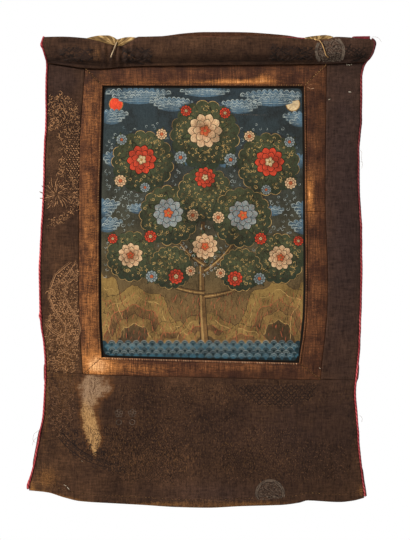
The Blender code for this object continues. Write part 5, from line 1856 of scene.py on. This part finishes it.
def make_canvas():
    points, triangles, last = cut_canvas()
    ring, flat, behind = coarse_back(points, triangles)
    flat_from = len(points)
    across, down = np.concatenate([points, flat]).T * np.array([[1], [-1]])
    in_front = np.arange(len(across)) < flat_from
    forward = CLOTH_BACK + hang(across, down) + CANVAS * in_front
    under = flat_from + np.arange(len(ring))
    wall = np.stack([np.roll(ring, -1), ring, under, np.roll(under, -1)], 1)
    faces = [triangles, wall, behind[:, ::-1] + flat_from]
    values = {"worn": read(CANVAS_WORN)(across, down)}
    cloth = np.stack([across, -down], 1) * MM
    piece = mesh_piece("painting_canvas", spots(across, down, forward), faces, PAINT_FINISH, values, cloth)
    bare = np.tile(tint("6b5a44"), (wall.size + behind.size, 1))
    colours = np.concatenate([paint_of(points[triangles], last).reshape(-1, 4), bare])
    paint = piece.data.color_attributes.new("paint", "FLOAT_COLOR", "CORNER").data
    paint.foreach_set("color", colours.astype(np.float32).ravel())
    dress(piece, "painted_canvas", "painting")
    print("canvas:", len(triangles), "triangles in front and", len(behind), "behind")


make_canvas()

# %% [markdown]
# ## Brush lines
#
# Over the flat colours goes the fine line work that the picture gathered: gold scrolls in the leaves, pale
# edges of clouds and water, dark and rust strokes on the hills. Line paint stands up a little, so these lines
# are ridges too, a tenth of a millimetre high.

# %% Brush lines


def canvas_front(across, down):
    return CLOTH_BACK + hang(across, down) + CANVAS


for kind, groups in LINES.items():
    ridges(kind + "_brush_lines", groups, canvas_front, BRUSHES[kind], "painted_canvas", 0.1, 0.25)

# %% [markdown]
# ## Stitches
#
# Hand sewing shows along the frame: thread whipped over the roll, running stitches on the mitres, loops that
# mend one corner, a row along the hem and a few loose white ones from old repairs. A stitch is a short ridge
# that climbs over the cloth beneath it, so the same function makes them.

# %% Stitches
ROLLS = {"frame_left": (102, 582), "frame_right_upper": (102, 320), "frame_right_lower": (328, 590),
         "frame_top": (-180, 174), "frame_bottom": (-180, 165)}
WHITE = table("across down on_across on_down", [
    (254, 59, 257.5, 60), (258, 58.5, 260.5, 60.5), (262, 59.5, 264, 58), (257.5, 108, 263, 108.4),
    (222, 122.5, 225.5, 120.5),
    (-254, 814, -249, 817), (-248, 818, -244, 823), (-244, 823, -242, 826), (205, 604, 208, 606),
    (-222, 771, -220, 773),
])


def running(x0, y0, x1, y1, pitch=4.2, share=0.6):
    """Running stitches along a line: each takes up a share of its pitch."""
    long = math.hypot(x1 - x0, y1 - y0)
    at = np.arange(1.5, long - pitch, pitch) / long
    to = at + pitch * share / long
    return between(x0 + (x1 - x0) * at, y0 + (y1 - y0) * at, x0 + (x1 - x0) * to, y0 + (y1 - y0) * to)


def silk_front(across, down):
    return CLOTH_BACK + hang(across, down) + CANVAS + GAP + SILK


for node, (first, last) in ROLLS.items():
    edges, inner = STRIPS[node][:2]
    along = np.arange(first, last, 4.4)
    jitter = along + 0.5 * np.sin(along * 1.7)
    over = 1 if inner in (0, 2) else -1
    near, far = edges[inner](along) + over * 0.6, edges[inner](along) + over * 3.2
    turns = between(near, jitter, far, jitter + 1.6, 7)
    if inner > 1:
        turns = between(jitter, near, jitter + 1.6, far, 7)
    thread, thick = (PALE_THREAD, 1.2) if node == "frame_bottom" else (THREAD_FINISH, 0.9)
    strip_front = front_of(frame_faces(edges, inner))
    ridges(node + "_whipping", [(turns, thick)], strip_front, thread, "frame_silk", 0.35, 0.3)


CORNER_LOOPS = table("across down on_across on_down", [
    (184, 99, 190, 103), (190, 103, 196.5, 101.5), (187, 96, 193, 94.5),
])
loops = [(between(*CORNER_LOOPS.values(), 8), 0.8)]
ridges("corner_repair_stitches", loops, silk_front, PALE_THREAD, "frame_silk", 0.5)
mitres = [(running(*corner), 0.8) for corner in (TOP_LEFT, TOP_RIGHT, BOTTOM_LEFT, BOTTOM_RIGHT)]
ridges("mitre_stitches", mitres, silk_front, THREAD_FINISH, "frame_silk", 0.3, 0.3)
hem = np.arange(-300, 272, 6.0)
hem_line = shifted(HEM_FOOT, 2.2 - HEM_HIGH)
row = [(between(hem, hem_line(hem), hem + 3.2, hem_line(hem + 3.2)), 0.8)]
ridges("hem_stitches", row, bottom_front, THREAD_FINISH, high=0.3)
mends = [(between(*WHITE.values()), 1.1)]
ridges("white_repair_stitches", mends, panel_front, WHITE_THREAD, "tie_string", 0.7)

# %% [markdown]
# ## Frayed threads
#
# A few single threads have pulled out at the edges and curl in the air. Each is a hair-thin cord on a curved
# path that starts in the cloth's edge.

# %% Frays
FRAYS = [table("across down forward", rows) for rows in (
    [(298, 12, 6), (303, 9.5, 7), (309, 10.5, 8), (315, 15.5, 8), (317, 19, 7)],
    [(-296, 716, 3), (-302, 719, 6), (-308, 725, 8), (-309, 733, 7), (-305, 739, 6)],
    [(-298, 727, 3), (-303, 730, 6), (-309, 738, 7), (-310, 744, 7)],
    [(279, 212, 3), (282, 219, 5), (281, 227, 5), (283, 236, 5)],
    [(280, 232, 3), (283, 238, 5), (281.5, 246, 5)],
    [(277, 690, 3), (281, 692, 5), (282.5, 697, 6), (281, 702, 6)],
)]


def fray(rows):
    return cord_surface(routed(rows, 1.2 * MM), 0.22 * MM, 9 * MM, 5, depth=0.1, taper=3 * MM)


points, faces, crests = zip(*map(fray, FRAYS))
starts = np.cumsum([0] + [len(rows) for rows in points])
sides, ends = (np.concatenate([part[i] + at for part, at in zip(faces, starts)]) for i in (0, 1))
frays = mesh_piece("frayed_threads", np.concatenate(points), [sides, ends], THREAD_FINISH,
                   {"crest": np.concatenate(crests)}, crease=180)
dress(frays, "lining_cloth")
print("frayed threads:", len(FRAYS))

# %% Triangle count
left_alone = {*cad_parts, "studio_floor"}
added = [piece.data for piece in bpy.data.objects if piece.type == "MESH" and piece.name not in left_alone]
counts = [len(mesh.loops) - 2 * len(mesh.polygons) for mesh in added]
print("triangles added:", sum(counts), "the most in one piece:", max(counts))
